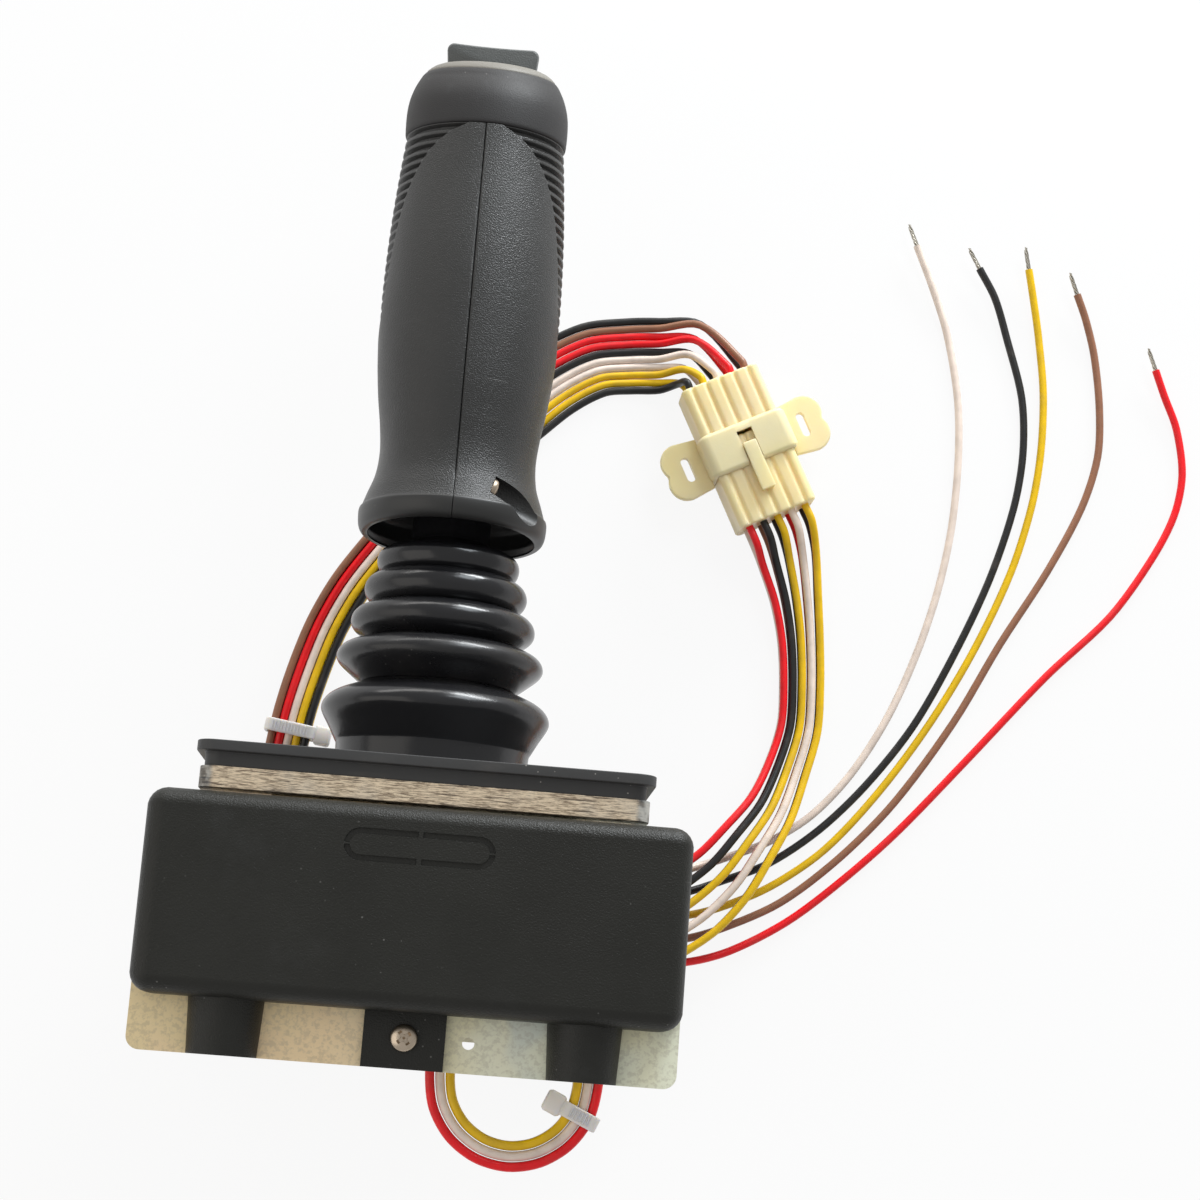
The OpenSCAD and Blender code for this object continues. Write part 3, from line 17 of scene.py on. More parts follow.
import bmesh
import bpy
from mathutils import Matrix, Vector
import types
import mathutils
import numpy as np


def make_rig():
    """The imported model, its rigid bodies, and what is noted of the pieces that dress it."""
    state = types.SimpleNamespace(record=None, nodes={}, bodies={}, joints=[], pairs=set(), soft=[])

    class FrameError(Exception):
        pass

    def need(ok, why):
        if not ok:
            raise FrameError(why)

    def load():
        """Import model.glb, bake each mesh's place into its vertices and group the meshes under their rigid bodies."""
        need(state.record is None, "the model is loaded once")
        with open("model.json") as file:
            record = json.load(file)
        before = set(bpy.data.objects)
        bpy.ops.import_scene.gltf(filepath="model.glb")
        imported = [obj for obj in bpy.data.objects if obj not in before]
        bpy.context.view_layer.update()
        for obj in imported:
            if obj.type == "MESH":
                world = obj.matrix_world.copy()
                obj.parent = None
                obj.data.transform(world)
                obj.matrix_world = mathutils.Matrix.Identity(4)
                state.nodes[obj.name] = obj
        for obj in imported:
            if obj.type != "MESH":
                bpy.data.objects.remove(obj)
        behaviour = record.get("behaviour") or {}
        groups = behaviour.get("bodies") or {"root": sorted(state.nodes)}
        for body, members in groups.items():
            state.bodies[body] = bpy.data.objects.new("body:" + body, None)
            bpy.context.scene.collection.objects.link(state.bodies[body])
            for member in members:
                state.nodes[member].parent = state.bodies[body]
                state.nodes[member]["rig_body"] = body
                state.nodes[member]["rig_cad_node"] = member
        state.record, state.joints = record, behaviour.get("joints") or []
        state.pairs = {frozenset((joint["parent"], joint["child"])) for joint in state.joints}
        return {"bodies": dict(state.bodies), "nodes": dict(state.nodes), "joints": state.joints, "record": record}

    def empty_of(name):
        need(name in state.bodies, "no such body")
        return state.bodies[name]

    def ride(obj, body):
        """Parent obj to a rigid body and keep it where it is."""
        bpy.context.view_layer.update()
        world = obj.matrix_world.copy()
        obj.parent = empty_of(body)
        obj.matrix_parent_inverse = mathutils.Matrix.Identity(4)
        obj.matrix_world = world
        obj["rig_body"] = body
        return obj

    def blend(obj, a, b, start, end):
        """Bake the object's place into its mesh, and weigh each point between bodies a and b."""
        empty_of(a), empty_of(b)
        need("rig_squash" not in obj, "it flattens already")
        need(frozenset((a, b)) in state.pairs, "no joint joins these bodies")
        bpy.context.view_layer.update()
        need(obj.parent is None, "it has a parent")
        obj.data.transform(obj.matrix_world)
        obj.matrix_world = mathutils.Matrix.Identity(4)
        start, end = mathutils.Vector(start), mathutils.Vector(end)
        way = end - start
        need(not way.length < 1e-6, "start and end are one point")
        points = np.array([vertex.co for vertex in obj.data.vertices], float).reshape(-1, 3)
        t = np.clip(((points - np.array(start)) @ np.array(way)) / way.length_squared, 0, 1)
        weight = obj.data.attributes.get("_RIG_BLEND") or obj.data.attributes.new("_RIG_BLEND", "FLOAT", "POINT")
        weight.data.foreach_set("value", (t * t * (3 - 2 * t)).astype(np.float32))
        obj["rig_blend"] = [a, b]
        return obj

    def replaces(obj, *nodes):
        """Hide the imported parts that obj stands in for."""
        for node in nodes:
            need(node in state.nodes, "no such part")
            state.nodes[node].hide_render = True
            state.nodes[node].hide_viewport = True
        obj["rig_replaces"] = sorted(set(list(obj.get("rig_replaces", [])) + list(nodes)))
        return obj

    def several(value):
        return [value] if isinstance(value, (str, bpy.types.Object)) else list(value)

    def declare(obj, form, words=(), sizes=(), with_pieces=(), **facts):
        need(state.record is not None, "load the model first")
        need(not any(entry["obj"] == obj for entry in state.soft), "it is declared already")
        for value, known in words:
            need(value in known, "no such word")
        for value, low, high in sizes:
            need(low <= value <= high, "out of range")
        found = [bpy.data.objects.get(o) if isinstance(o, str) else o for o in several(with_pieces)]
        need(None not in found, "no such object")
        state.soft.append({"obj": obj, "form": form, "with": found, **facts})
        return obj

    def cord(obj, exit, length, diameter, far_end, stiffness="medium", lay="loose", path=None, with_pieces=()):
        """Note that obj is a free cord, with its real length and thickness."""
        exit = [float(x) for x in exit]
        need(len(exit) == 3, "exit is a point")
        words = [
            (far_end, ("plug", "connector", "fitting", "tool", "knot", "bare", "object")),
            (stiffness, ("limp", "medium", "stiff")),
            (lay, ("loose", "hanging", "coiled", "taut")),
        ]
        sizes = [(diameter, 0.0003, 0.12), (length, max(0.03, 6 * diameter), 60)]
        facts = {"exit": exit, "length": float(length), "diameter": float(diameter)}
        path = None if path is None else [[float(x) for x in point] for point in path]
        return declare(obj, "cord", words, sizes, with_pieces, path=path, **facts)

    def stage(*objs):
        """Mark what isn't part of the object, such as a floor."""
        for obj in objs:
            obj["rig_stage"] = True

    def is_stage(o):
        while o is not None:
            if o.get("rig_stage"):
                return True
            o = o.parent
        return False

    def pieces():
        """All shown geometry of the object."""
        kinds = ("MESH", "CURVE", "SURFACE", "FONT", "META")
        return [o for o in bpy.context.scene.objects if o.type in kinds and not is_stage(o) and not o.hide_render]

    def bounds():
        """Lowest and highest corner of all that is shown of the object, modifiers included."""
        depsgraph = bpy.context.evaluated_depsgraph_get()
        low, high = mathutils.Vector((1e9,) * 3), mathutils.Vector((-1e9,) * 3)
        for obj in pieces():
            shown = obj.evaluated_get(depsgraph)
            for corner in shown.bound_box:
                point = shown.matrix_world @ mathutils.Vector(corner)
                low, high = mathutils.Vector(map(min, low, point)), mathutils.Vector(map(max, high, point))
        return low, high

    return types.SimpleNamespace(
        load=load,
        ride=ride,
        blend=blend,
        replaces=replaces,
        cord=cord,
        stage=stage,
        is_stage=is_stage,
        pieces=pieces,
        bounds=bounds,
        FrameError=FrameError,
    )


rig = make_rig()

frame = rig.load()

log = logging.getLogger("joystick")
MM = 0.001
TURN = 2 * math.pi
WHITE = (1.0, 1.0, 1.0)
Point = tuple[float, float, float]
Colour = tuple[float, float, float]


def lay(x: float, y: float, z: float) -> Vector:
    """Turns a point of the standing stick into the row frame.

    Args:
        x: Millimetres to the right.
        y: Millimetres behind the stem's axis.
        z: Millimetres above the mounting plate's top face.

    Returns:
        The point in the row frame, in metres.
    """
    return Vector((x * MM, z * MM, -y * MM))


def smoothstep(low: float, high: float, value: float) -> float:
    """Rises smoothly from 0 at low to 1 at high."""
    t = min(max((value - low) / (high - low), 0.0), 1.0)
    return t * t * (3 - 2 * t)


def hermite(t: float, start: "float | Vector", lead: "float | Vector", end: "float | Vector",
            trail: "float | Vector") -> "float | Vector":
    """Goes from start, leaving at slope lead, to end, arriving at slope trail, as t goes from 0 to 1.

    Args:
        t: How far along, from 0 to 1.
        start: Value where it starts.
        lead: Slope there.
        end: Value where it ends.
        trail: Slope there.

    Returns:
        The value at t.
    """
    return (
        (2 * t**3 - 3 * t**2 + 1) * start
        + (t**3 - 2 * t**2 + t) * lead
        + (3 * t**2 - 2 * t**3) * end
        + (t**3 - t**2) * trail
    )


def angles(count: int) -> list[float]:
    """Evenly spaced angles round a circle."""
    return [TURN * k / count for k in range(count)]


def round_corners(half_wide: float, half_deep: float, radius: float, steps: int) -> list[Point]:
    """Runs round a rectangle with round corners.

    Args:
        half_wide: From its middle to the centre of a corner, across.
        half_deep: The same, the other way.
        radius: Radius of the corners.
        steps: Facets of each corner.

    Returns:
        Its points as x and y, each with the angle in radians that it faces.
    """
    return [
        (sx * half_wide + radius * math.cos(a), sy * half_deep + radius * math.sin(a), a)
        for sx, sy, turn in ((1, 1, 0), (-1, 1, 90), (-1, -1, 180), (1, -1, 270))
        for a in (math.radians(turn + 90 * k / steps) for k in range(steps + 1))
    ]


def rounded_run(low: float, high: float, edge: Sequence[tuple[float, float]]) -> list[tuple[float, float]]:
    """Lays out the sections of a bar with rounded ends.

    Args:
        low: Where the bar starts.
        high: Where it ends.
        edge: From an end inwards, how far each section lies from it and how far it is drawn in.

    Returns:
        Where each section lies, and how far it is drawn in.
    """
    return [*((low + off, pull) for off, pull in edge), *((high - off, pull) for off, pull in reversed(edge))]


def along_curve(points: Sequence[Vector], steps: int) -> list[Vector]:
    """Runs a smooth line through all of a route's points.

    Args:
        points: The points that the line passes.
        steps: How many stretches lie between two of them.

    Returns:
        The line's points, its ends included.
    """
    pull = 0.92
    line = []
    last = len(points) - 1
    for i in range(last):
        before, start = points[max(i - 1, 0)], points[i]
        end, after = points[i + 1], points[min(i + 2, last)]
        span = (end - start).length
        lead = (end - before).normalized() * span * pull
        trail = (after - start).normalized() * span * pull
        line.extend(hermite(k / steps, start, lead, end, trail) for k in range(steps))
    return line + [points[-1]]


def table_at(rows: Sequence[Sequence[float]], at: float, column: int) -> float:
    """Reads a table of sections smoothly between its rows.

    Args:
        rows: Rows whose first number rises.
        at: Where to read, on the scale of the first numbers.
        column: Which number of the rows to read.

    Returns:
        The value there, on a curve through the rows.
    """
    if at <= rows[0][0]:
        return rows[0][column]
    if at >= rows[-1][0]:
        return rows[-1][column]
    i = max(k for k in range(len(rows) - 1) if rows[k][0] <= at)
    low, high = rows[i], rows[i + 1]
    span = high[0] - low[0]

    def slope(k: int) -> float:
        """Slope of the table at one of its rows."""
        a, b = rows[max(k - 1, 0)], rows[min(k + 1, len(rows) - 1)]
        return (b[column] - a[column]) / (b[0] - a[0])

    return hermite((at - low[0]) / span, low[column], span * slope(i), high[column], span * slope(i + 1))


# ------------------------------------------------------------------ shading


class Signal:
    """A node's output that takes part in arithmetic."""

    def __init__(self, shade: "Shade", socket: bpy.types.NodeSocket) -> None:
        """Wraps one socket of one shader."""
        self.shade = shade
        self.socket = socket

    def __add__(self, other: "Signal | float") -> "Signal":
        """Sum."""
        return self.shade.math("ADD", self, other)

    __radd__ = __add__

    def __mul__(self, other: "Signal | float") -> "Signal":
        """Product."""
        return self.shade.math("MULTIPLY", self, other)

    __rmul__ = __mul__

    def __sub__(self, other: "Signal | float") -> "Signal":
        """Difference."""
        return self.shade.math("SUBTRACT", self, other)

    def __rsub__(self, other: float) -> "Signal":
        """Difference from a number."""
        return self.shade.math("SUBTRACT", other, self)

    def rise(self, low: float, high: float, start: float = 0.0, end: float = 1.0) -> "Signal":
        """Maps low..high smoothly to start..end and holds the ends.

        Args:
            low: Where it starts to rise.
            high: Where it stops.
            start: Its value up to low.
            end: Its value from high on.

        Returns:
            The mapped signal.
        """
        node = self.shade.node(
            "ShaderNodeMapRange", {"interpolation_type": "SMOOTHSTEP"},
            {"Value": self, "From Min": low, "From Max": high, "To Min": start, "To Max": end},
        )
        return Signal(self.shade, node.outputs["Result"])


class Tree:
    """The nodes of a material, of the world or of a Geometry Nodes modifier."""

    def __init__(self, tree: bpy.types.NodeTree) -> None:
        """Takes over a tree and empties it."""
        self.tree = tree
        tree.nodes.clear()

    def node(self, kind: str, settings: dict | None = None, inputs: dict | None = None) -> bpy.types.Node:
        """Makes one node.

        Args:
            kind: The node's type.
            settings: Attributes set first, such as a Math node's operation.
            inputs: Values, sockets or signals by input name or number.

        Returns:
            The node.
        """
        made = self.tree.nodes.new(kind)
        for key, value in (settings or {}).items():
            setattr(made, key, value)
        for key, value in (inputs or {}).items():
            self.set(made.inputs[key], value)
        return made

    def set(self, socket: bpy.types.NodeSocket, value: object) -> None:
        """Links a signal or another socket to a socket, or writes a value on it.

        Args:
            socket: The input.
            value: A signal, an output or a plain value.
        """
        if isinstance(value, Signal):
            value = value.socket
        if isinstance(value, bpy.types.NodeSocket):
            self.tree.links.new(value, socket)
        elif socket.type == "RGBA" and len(value) == 3:
            socket.default_value = (*value, 1.0)
        else:
            socket.default_value = value


class Shade(Tree):
    """One material's node tree, with a Principled shader."""

    def __init__(self, name: str) -> None:
        """Makes the material.

        Args:
            name: The material's name.
        """
        self.material = bpy.data.materials.new(name)
        self.material.use_nodes = True
        super().__init__(self.material.node_tree)
        self.surface = self.node("ShaderNodeBsdfPrincipled")
        self.output = self.node("ShaderNodeOutputMaterial", None, {"Surface": self.surface.outputs[0]})

    def math(self, operation: str, a: "Signal | float", b: "Signal | float" = 0.0) -> Signal:
        """Adds one Math node."""
        return Signal(self, self.node("ShaderNodeMath", {"operation": operation}, {0: a, 1: b}).outputs[0])

    def place(self, scale: Sequence[float] = (1, 1, 1), turn: Sequence[float] = (0, 0, 0)) -> Signal:
        """Object coordinates, scaled and turned.

        Args:
            scale: Scale along each axis.
            turn: Turn about each axis in radians.

        Returns:
            The coordinates.
        """
        source = self.node("ShaderNodeTexCoord").outputs["Object"]
        mapping = self.node("ShaderNodeMapping", None, {"Vector": source, "Scale": scale, "Rotation": turn})
        return Signal(self, mapping.outputs[0])

    def axis(self, letter: str) -> Signal:
        """One component of the object coordinates, in metres."""
        split = self.node("ShaderNodeSeparateXYZ", None, {0: self.place()})
        return Signal(self, split.outputs[letter])

    def attribute(self, name: str) -> Signal:
        """A number stored on the mesh."""
        return Signal(self, self.node("ShaderNodeAttribute", {"attribute_name": name}).outputs["Fac"])

    def noise(self, scale: float, detail: float = 2.0, at: Signal | None = None, rough: float = 0.5) -> Signal:
        """Noise of a given scale over the object coordinates.

        Args:
            scale: How fine it is.
            detail: Octaves on top of the first.
            at: Where it is read, the plain coordinates by default.
            rough: How strong the octaves are.

        Returns:
            The noise, 0 to 1.
        """
        made = self.node(
            "ShaderNodeTexNoise", None,
            {"Vector": at or self.place(), "Scale": scale, "Detail": detail, "Roughness": rough},
        )
        return Signal(self, made.outputs[0])

    def cells(self, scale: float) -> Signal:
        """Distance to the nearest of scattered points."""
        made = self.node("ShaderNodeTexVoronoi", None, {"Vector": self.place(), "Scale": scale})
        return Signal(self, made.outputs["Distance"])

    def blend(self, factor: Signal, a: "Signal | Colour", b: "Signal | Colour") -> Signal:
        """Mixes two colours."""
        made = self.node("ShaderNodeMix", {"data_type": "RGBA"}, {"Factor": factor, 6: a, 7: b})
        return Signal(self, made.outputs[2])

    def bump(self, height: Signal, distance: float) -> Signal:
        """Turns a height in 0..1 into a normal."""
        made = self.node("ShaderNodeBump", None, {"Height": height, "Distance": distance, "Strength": 1.0})
        return Signal(self, made.outputs[0])

    def wear(self, **sockets: "Signal | float | Sequence[float]") -> bpy.types.Material:
        """Sets the shader's sockets, written with underscores for spaces.

        Args:
            **sockets: Values or signals by socket name.

        Returns:
            The material.
        """
        for key, value in sockets.items():
            self.set(self.surface.inputs[key.replace("_", " ")], value)
        return self.material


def srgb(red: float, green: float, blue: float) -> Colour:
    """Turns a colour as it looks, 0 to 255, into linear light.

    Args:
        red: Red.
        green: Green.
        blue: Blue.

    Returns:
        The colour in linear light.
    """
    return tuple(
        c / 12.92 if c <= 0.04045 else ((c + 0.055) / 1.055) ** 2.4
        for c in (red / 255, green / 255, blue / 255)
    )


def darker(colour: Colour, share: float) -> Colour:
    """The same hue at a share of its light."""
    return tuple(c * share for c in colour)


@dataclass(frozen=True)
class SparkedPlastic:
    """Moulded plastic from a spark-eroded tool: fine pits under a soft sheen."""

    name: str
    colour: Colour
    roughness: float = 0.5
    grain: float = 0.05
    pitch: float = 2600.0
    dust: float = 0.2
    scuffs: float = 0.0
    shine: float = 0.4
    # Height in millimetres below which the skin is polished and carries painted shade, and its share of the light there
    polished_shaded_below: float | None = None
    band_painted_shade_tone: float = 0.55
    # Heights between which the painted shade on the lower handle fades out, and the colour's share of the light below
    # them
    painted_shade_heights: tuple[float, float] = (76.0, 175.0)
    painted_shade_tone: float = 0.62
    rubbed_tone: Colour = srgb(120, 122, 126)
    dust_tone: Colour = srgb(165, 163, 160)

    def build(self) -> bpy.types.Material:
        """Makes the material.

        Returns:
            The material.
        """
        s = Shade(self.name)
        pits = s.noise(self.pitch, 1, rough=0.5).rise(0.3, 0.7)
        if self.polished_shaded_below is not None:
            low, high = self.polished_shaded_below - 0.2, self.polished_shaded_below + 0.2
            grained = s.axis("Y").rise(low * MM, high * MM)
            pits = pits * grained
        mottle = s.noise(60, 3)
        specks = s.cells(420).rise(0.12, 0.04) * s.noise(35, 2).rise(0.56, 0.7)
        hairs = s.noise(26, 2, s.place((1, 26, 1), (0, 0, 0.5))).rise(0.735, 0.76)
        hairs = hairs * s.noise(14, 2).rise(0.5, 0.6)
        rubbed = s.noise(48, 5, rough=0.65).rise(0.55, 0.75) * self.scuffs
        tone = s.blend(mottle.rise(0.3, 0.7), darker(self.colour, 0.94), darker(self.colour, 1.05))
        if self.polished_shaded_below is not None:
            # Painted shade: the polished band at the rim is darkened
            tone = s.blend(1 - grained, tone, darker(self.colour, self.band_painted_shade_tone))
            # Painted shade: the colour darkens towards the bottom of the handle, as if less light reached it there
            low, high = self.painted_shade_heights
            tone = s.blend(1 - s.axis("Y").rise(low * MM, high * MM), tone, darker(self.colour, self.painted_shade_tone))
        tone = s.blend(rubbed * 0.25, tone, self.rubbed_tone)
        tone = s.blend(specks * self.dust + hairs * (0.12 + self.scuffs * 0.2), tone, self.dust_tone)
        sheen = mottle.rise(0.3, 0.7, self.roughness - 0.04, self.roughness + 0.05)
        return s.wear(
            Base_Color=tone,
            Roughness=sheen - rubbed * 0.12 + specks * 0.2,
            Normal=s.bump(pits + hairs * 0.3, self.grain * MM),
            Specular_IOR_Level=self.shine,
        )


@dataclass(frozen=True)
class Rubber:
    """Moulded rubber with a skin that shines where it has been handled."""

    name: str
    colour: Colour
    roughness: float
    dust: float
    shine: float = 0.5
    film_tone: Colour = srgb(104, 98, 92)
    speck_tone: Colour = srgb(178, 174, 168)

    def build(self) -> bpy.types.Material:
        """Makes the material.

        Returns:
            The material.
        """
        s = Shade(self.name)
        cloud = s.noise(45, 4)
        streak = s.noise(90, 3, s.place((1, 4, 1)))
        specks = s.cells(520).rise(0.11, 0.04) * s.noise(50, 2).rise(0.55, 0.66)
        film = cloud.rise(0.48, 0.78) * streak.rise(0.35, 0.7)
        tone = s.blend(film * self.dust, self.colour, self.film_tone)
        tone = s.blend(specks * (self.dust * 2.4), tone, self.speck_tone)
        sheen = cloud.rise(0.3, 0.7, self.roughness - 0.04, self.roughness + 0.05)
        return s.wear(
            Base_Color=tone,
            Roughness=film * 0.2 + specks * 0.3 + sheen,
            Normal=s.bump(s.noise(1100, 2) * 0.5 + cloud, 0.05 * MM),
            Specular_IOR_Level=self.shine,
        )


@dataclass(frozen=True)
class GrainedPlate:
    """The plate's finish: sawn pale metal with short dark strokes along its edges."""

    name: str = "plate finish"
    half: float = 50.0
    stroke_tones: tuple[Colour, Colour] = (srgb(142, 124, 104), srgb(238, 218, 188))
    fine_tone: Colour = srgb(116, 96, 78)
    patch_tone: Colour = srgb(232, 222, 204)
    gouge_tone: Colour = srgb(66, 54, 44)
    corner_tones: tuple[Colour, Colour] = (srgb(74, 76, 78), srgb(176, 176, 172))
    corner_from: tuple[float, float] = (3.6, 2.2)

    def build(self) -> bpy.types.Material:
        """Makes the material.

        Returns:
            The material.
        """
        s = Shade(self.name)
        strokes = s.noise(420, 4, s.place((0.8, 7, 0.8)), 0.7)
        fine = s.noise(900, 3, s.place((0.5, 5, 0.5)), 0.65)
        gouges = s.noise(230, 3, s.place((0.5, 9, 0.5)), 0.6).rise(0.58, 0.66)
        patches = s.noise(60, 3)
        tone = s.blend(strokes.rise(0.34, 0.58), *self.stroke_tones)
        tone = s.blend(fine.rise(0.5, 0.64) * 0.6, tone, self.fine_tone)
        tone = s.blend(patches.rise(0.5, 0.72) * 0.5, tone, self.patch_tone)
        tone = s.blend(gouges * 0.75, tone, self.gouge_tone)
        low, high = (self.half - inset for inset in self.corner_from)
        ends = s.math("ABSOLUTE", s.axis("X")).rise(low * MM, high * MM)
        corner = s.blend(s.noise(300, 3).rise(0.42, 0.6), *self.corner_tones)
        tone = s.blend(ends * 0.85, tone, corner)
        return s.wear(
            Base_Color=tone,
            Metallic=0.25,
            Roughness=strokes.rise(0.35, 0.65, 0.6, 0.42),
            Normal=s.bump(strokes + fine * 0.5 - gouges * 0.6, 0.06 * MM),
            Specular_IOR_Level=0.4,
        )


@dataclass(frozen=True)
class PassivatedSheet:
    """Zinc sheet with a clear passivation in straw and blue patches, under painted light that turns from warm on the
    left to cool on the right.
    """

    name: str = "passivated sheet"
    half: float = 60.0
    # Painted light: the colours at the left and the right end of the warm-to-cool ramp
    painted_warm_to_cool_light: tuple[Colour, Colour] = (srgb(252, 226, 182), srgb(238, 240, 216))
    straw_tone: Colour = srgb(240, 226, 172)
    blue_tone: Colour = srgb(190, 208, 214)
    spangle_tone: Colour = srgb(150, 138, 118)

    def build(self) -> bpy.types.Material:
        """Makes the material.

        Returns:
            The material.
        """
        s = Shade(self.name)
        spangle = s.noise(900, 3, rough=0.6)
        tint = s.noise(34, 2)
        # Painted light: the colour runs from warm on the left to cool on the right, its line wavered by noise
        across = s.axis("X") + (tint - 0.5) * (0.9 * self.half * MM)
        drawn = s.noise(420, 3, s.place((7, 1, 1)))
        tone = s.blend(across.rise(-0.4 * self.half * MM, 0.5 * self.half * MM), *self.painted_warm_to_cool_light)
        tone = s.blend(tint.rise(0.52, 0.64) * 0.4, tone, self.straw_tone)
        tone = s.blend(tint.rise(0.44, 0.36) * 0.4, tone, self.blue_tone)
        tone = s.blend(spangle.rise(0.56, 0.36) * 0.26, tone, self.spangle_tone)
        return s.wear(
            Base_Color=tone,
            Metallic=0.12,
            Roughness=spangle.rise(0.35, 0.7, 0.44, 0.56) + drawn * 0.06,
            Normal=s.bump(drawn * 0.3 + spangle, 0.02 * MM),
            Specular_IOR_Level=0.5,
        )


@dataclass(frozen=True)
class TurnedMetal:
    """Machined or plated metal with fine marks and a little tarnish."""

    name: str
    colour: Colour
    roughness: float = 0.3
    marks: Sequence[float] = (1, 8, 1)

    def build(self) -> bpy.types.Material:
        """Makes the material.

        Returns:
            The material.
        """
        s = Shade(self.name)
        marks = s.noise(900, 3, s.place(self.marks))
        cloud = s.noise(160, 3)
        tone = s.blend(cloud.rise(0.35, 0.7), self.colour, darker(self.colour, 0.62))
        return s.wear(
            Base_Color=tone,
            Metallic=1.0,
            Roughness=cloud.rise(0.3, 0.7, self.roughness - 0.05, self.roughness + 0.12),
            Normal=s.bump(marks, 0.02 * MM),
        )


@dataclass(frozen=True)
class Nylon:
    """Natural nylon: pale, waxy, with light going a little way in."""

    name: str
    colour: Colour
    depth: float = 1.6
    warmth: float = 0.0
    warm_tone: Colour = srgb(244, 224, 164)

    def build(self) -> bpy.types.Material:
        """Makes the material.

        Returns:
            The material.
        """
        s = Shade(self.name)
        flow = s.noise(70, 3, s.place((1, 1, 3)))
        tone = s.blend(flow.rise(0.3, 0.7), self.colour, darker(self.colour, 0.94))
        tone = s.blend(s.noise(40, 1).rise(0.42, 0.6) * self.warmth, tone, self.warm_tone)
        return s.wear(
            Base_Color=tone,
            Roughness=flow.rise(0.3, 0.7, 0.34, 0.46),
            Subsurface_Weight=0.5,
            Subsurface_Radius=(1.0, 0.82, 0.55),
            Subsurface_Scale=self.depth * MM,
            Normal=s.bump(s.noise(1500, 2), 0.015 * MM),
            Specular_IOR_Level=0.4,
        )


@dataclass(frozen=True)
class Insulation:
    """Extruded wire insulation with a soft gloss and faint draw lines."""

    name: str
    colour: Colour
    grime_tone: Colour = srgb(120, 105, 95)
    ripple: float = 2400.0

    def build(self) -> bpy.types.Material:
        """Makes the material.

        Returns:
            The material.
        """
        s = Shade(self.name)
        along = s.attribute("along")
        wave = s.noise(260, 2)
        grime = s.noise(120, 3).rise(0.55, 0.75)
        tone = s.blend(wave.rise(0.3, 0.7), self.colour, darker(self.colour, 0.86))
        tone = s.blend(grime * 0.14, tone, self.grime_tone)
        ripple = s.math("SINE", along * self.ripple) * 0.5 + 0.5
        return s.wear(
            Base_Color=tone,
            Roughness=wave.rise(0.3, 0.7, 0.32, 0.44),
            Normal=s.bump(ripple * 0.2 + wave, 0.03 * MM),
            Specular_IOR_Level=0.45,
        )


@dataclass(frozen=True)
class Laminate:
    """Circuit board: solder mask over faint copper."""

    name: str = "board laminate"
    mask_tones: tuple[Colour, Colour] = (srgb(22, 84, 48), srgb(44, 120, 70))

    def build(self) -> bpy.types.Material:
        """Makes the material.

        Returns:
            The material.
        """
        s = Shade(self.name)
        tracks = s.noise(300, 1, s.place((1, 6, 1))).rise(0.48, 0.52)
        return s.wear(
            Base_Color=s.blend(tracks * 0.5, *self.mask_tones),
            Roughness=tracks.rise(0, 1, 0.35, 0.25),
            Normal=s.bump(tracks, 0.03 * MM),
        )


class Finishes:
    """Every finish of the stick, built once."""

    def __init__(self) -> None:
        """Builds all materials."""
        self.handle = SparkedPlastic(
            "handle plastic", srgb(54, 54, 53), 0.4, 0.055, 2900, 0.35, shine=0.5, polished_shaded_below=71.6,
        ).build()
        self.cap = SparkedPlastic("cap plastic", srgb(53, 52, 52), 0.58, 0.02, 3500, 0.5, 1.0, 0.32).build()
        self.bezel = SparkedPlastic("bezel plastic", srgb(126, 122, 114), 0.5, 0.02, 3500).build()
        self.rocker = SparkedPlastic("rocker plastic", srgb(86, 88, 87), 0.5, 0.03, 3000).build()
        self.cover = SparkedPlastic("cover plastic", srgb(34, 34, 30), 0.42, 0.05, 2800, 0.35, 0.15, 0.32).build()
        self.dark = SparkedPlastic("component plastic", srgb(30, 30, 31), 0.5).build()
        self.gate = SparkedPlastic("gate plastic", srgb(48, 48, 50), 0.5).build()
        self.boot = Rubber("boot rubber", srgb(25, 25, 27), 0.22, 0.08, 0.5).build()
        self.gasket = Rubber("gasket rubber", srgb(60, 60, 60), 0.5, 0.32, 0.4).build()
        self.plate = GrainedPlate().build()
        self.sheet = PassivatedSheet().build()
        self.board = Laminate().build()
        self.screw = TurnedMetal("screw steel", srgb(200, 184, 164), 0.26).build()
        self.steel = TurnedMetal("machined steel", srgb(172, 172, 174), 0.28).build()
        self.spring = TurnedMetal("spring steel", srgb(150, 152, 156), 0.3).build()
        self.casting = TurnedMetal("cast aluminium", srgb(158, 160, 163), 0.45, (3, 3, 3)).build()
        self.brass = TurnedMetal("bush brass", srgb(196, 160, 92), 0.32).build()
        self.tinned = TurnedMetal("tinned copper", srgb(196, 190, 178), 0.34).build()
        self.nylon = Nylon("nylon", srgb(249, 229, 182), 4.5, 0.6).build()
        self.tie = Nylon("tie nylon", srgb(240, 236, 232), 1.6).build()
        wires = {
            "red": srgb(248, 12, 26), "black": srgb(30, 30, 30), "yellow": srgb(240, 194, 4),
            "white": srgb(244, 226, 212), "brown": srgb(152, 104, 78),
        }
        self.wire = {name: Insulation(f"{name} insulation", colour).build() for name, colour in wires.items()}


# ------------------------------------------------------------------ forms


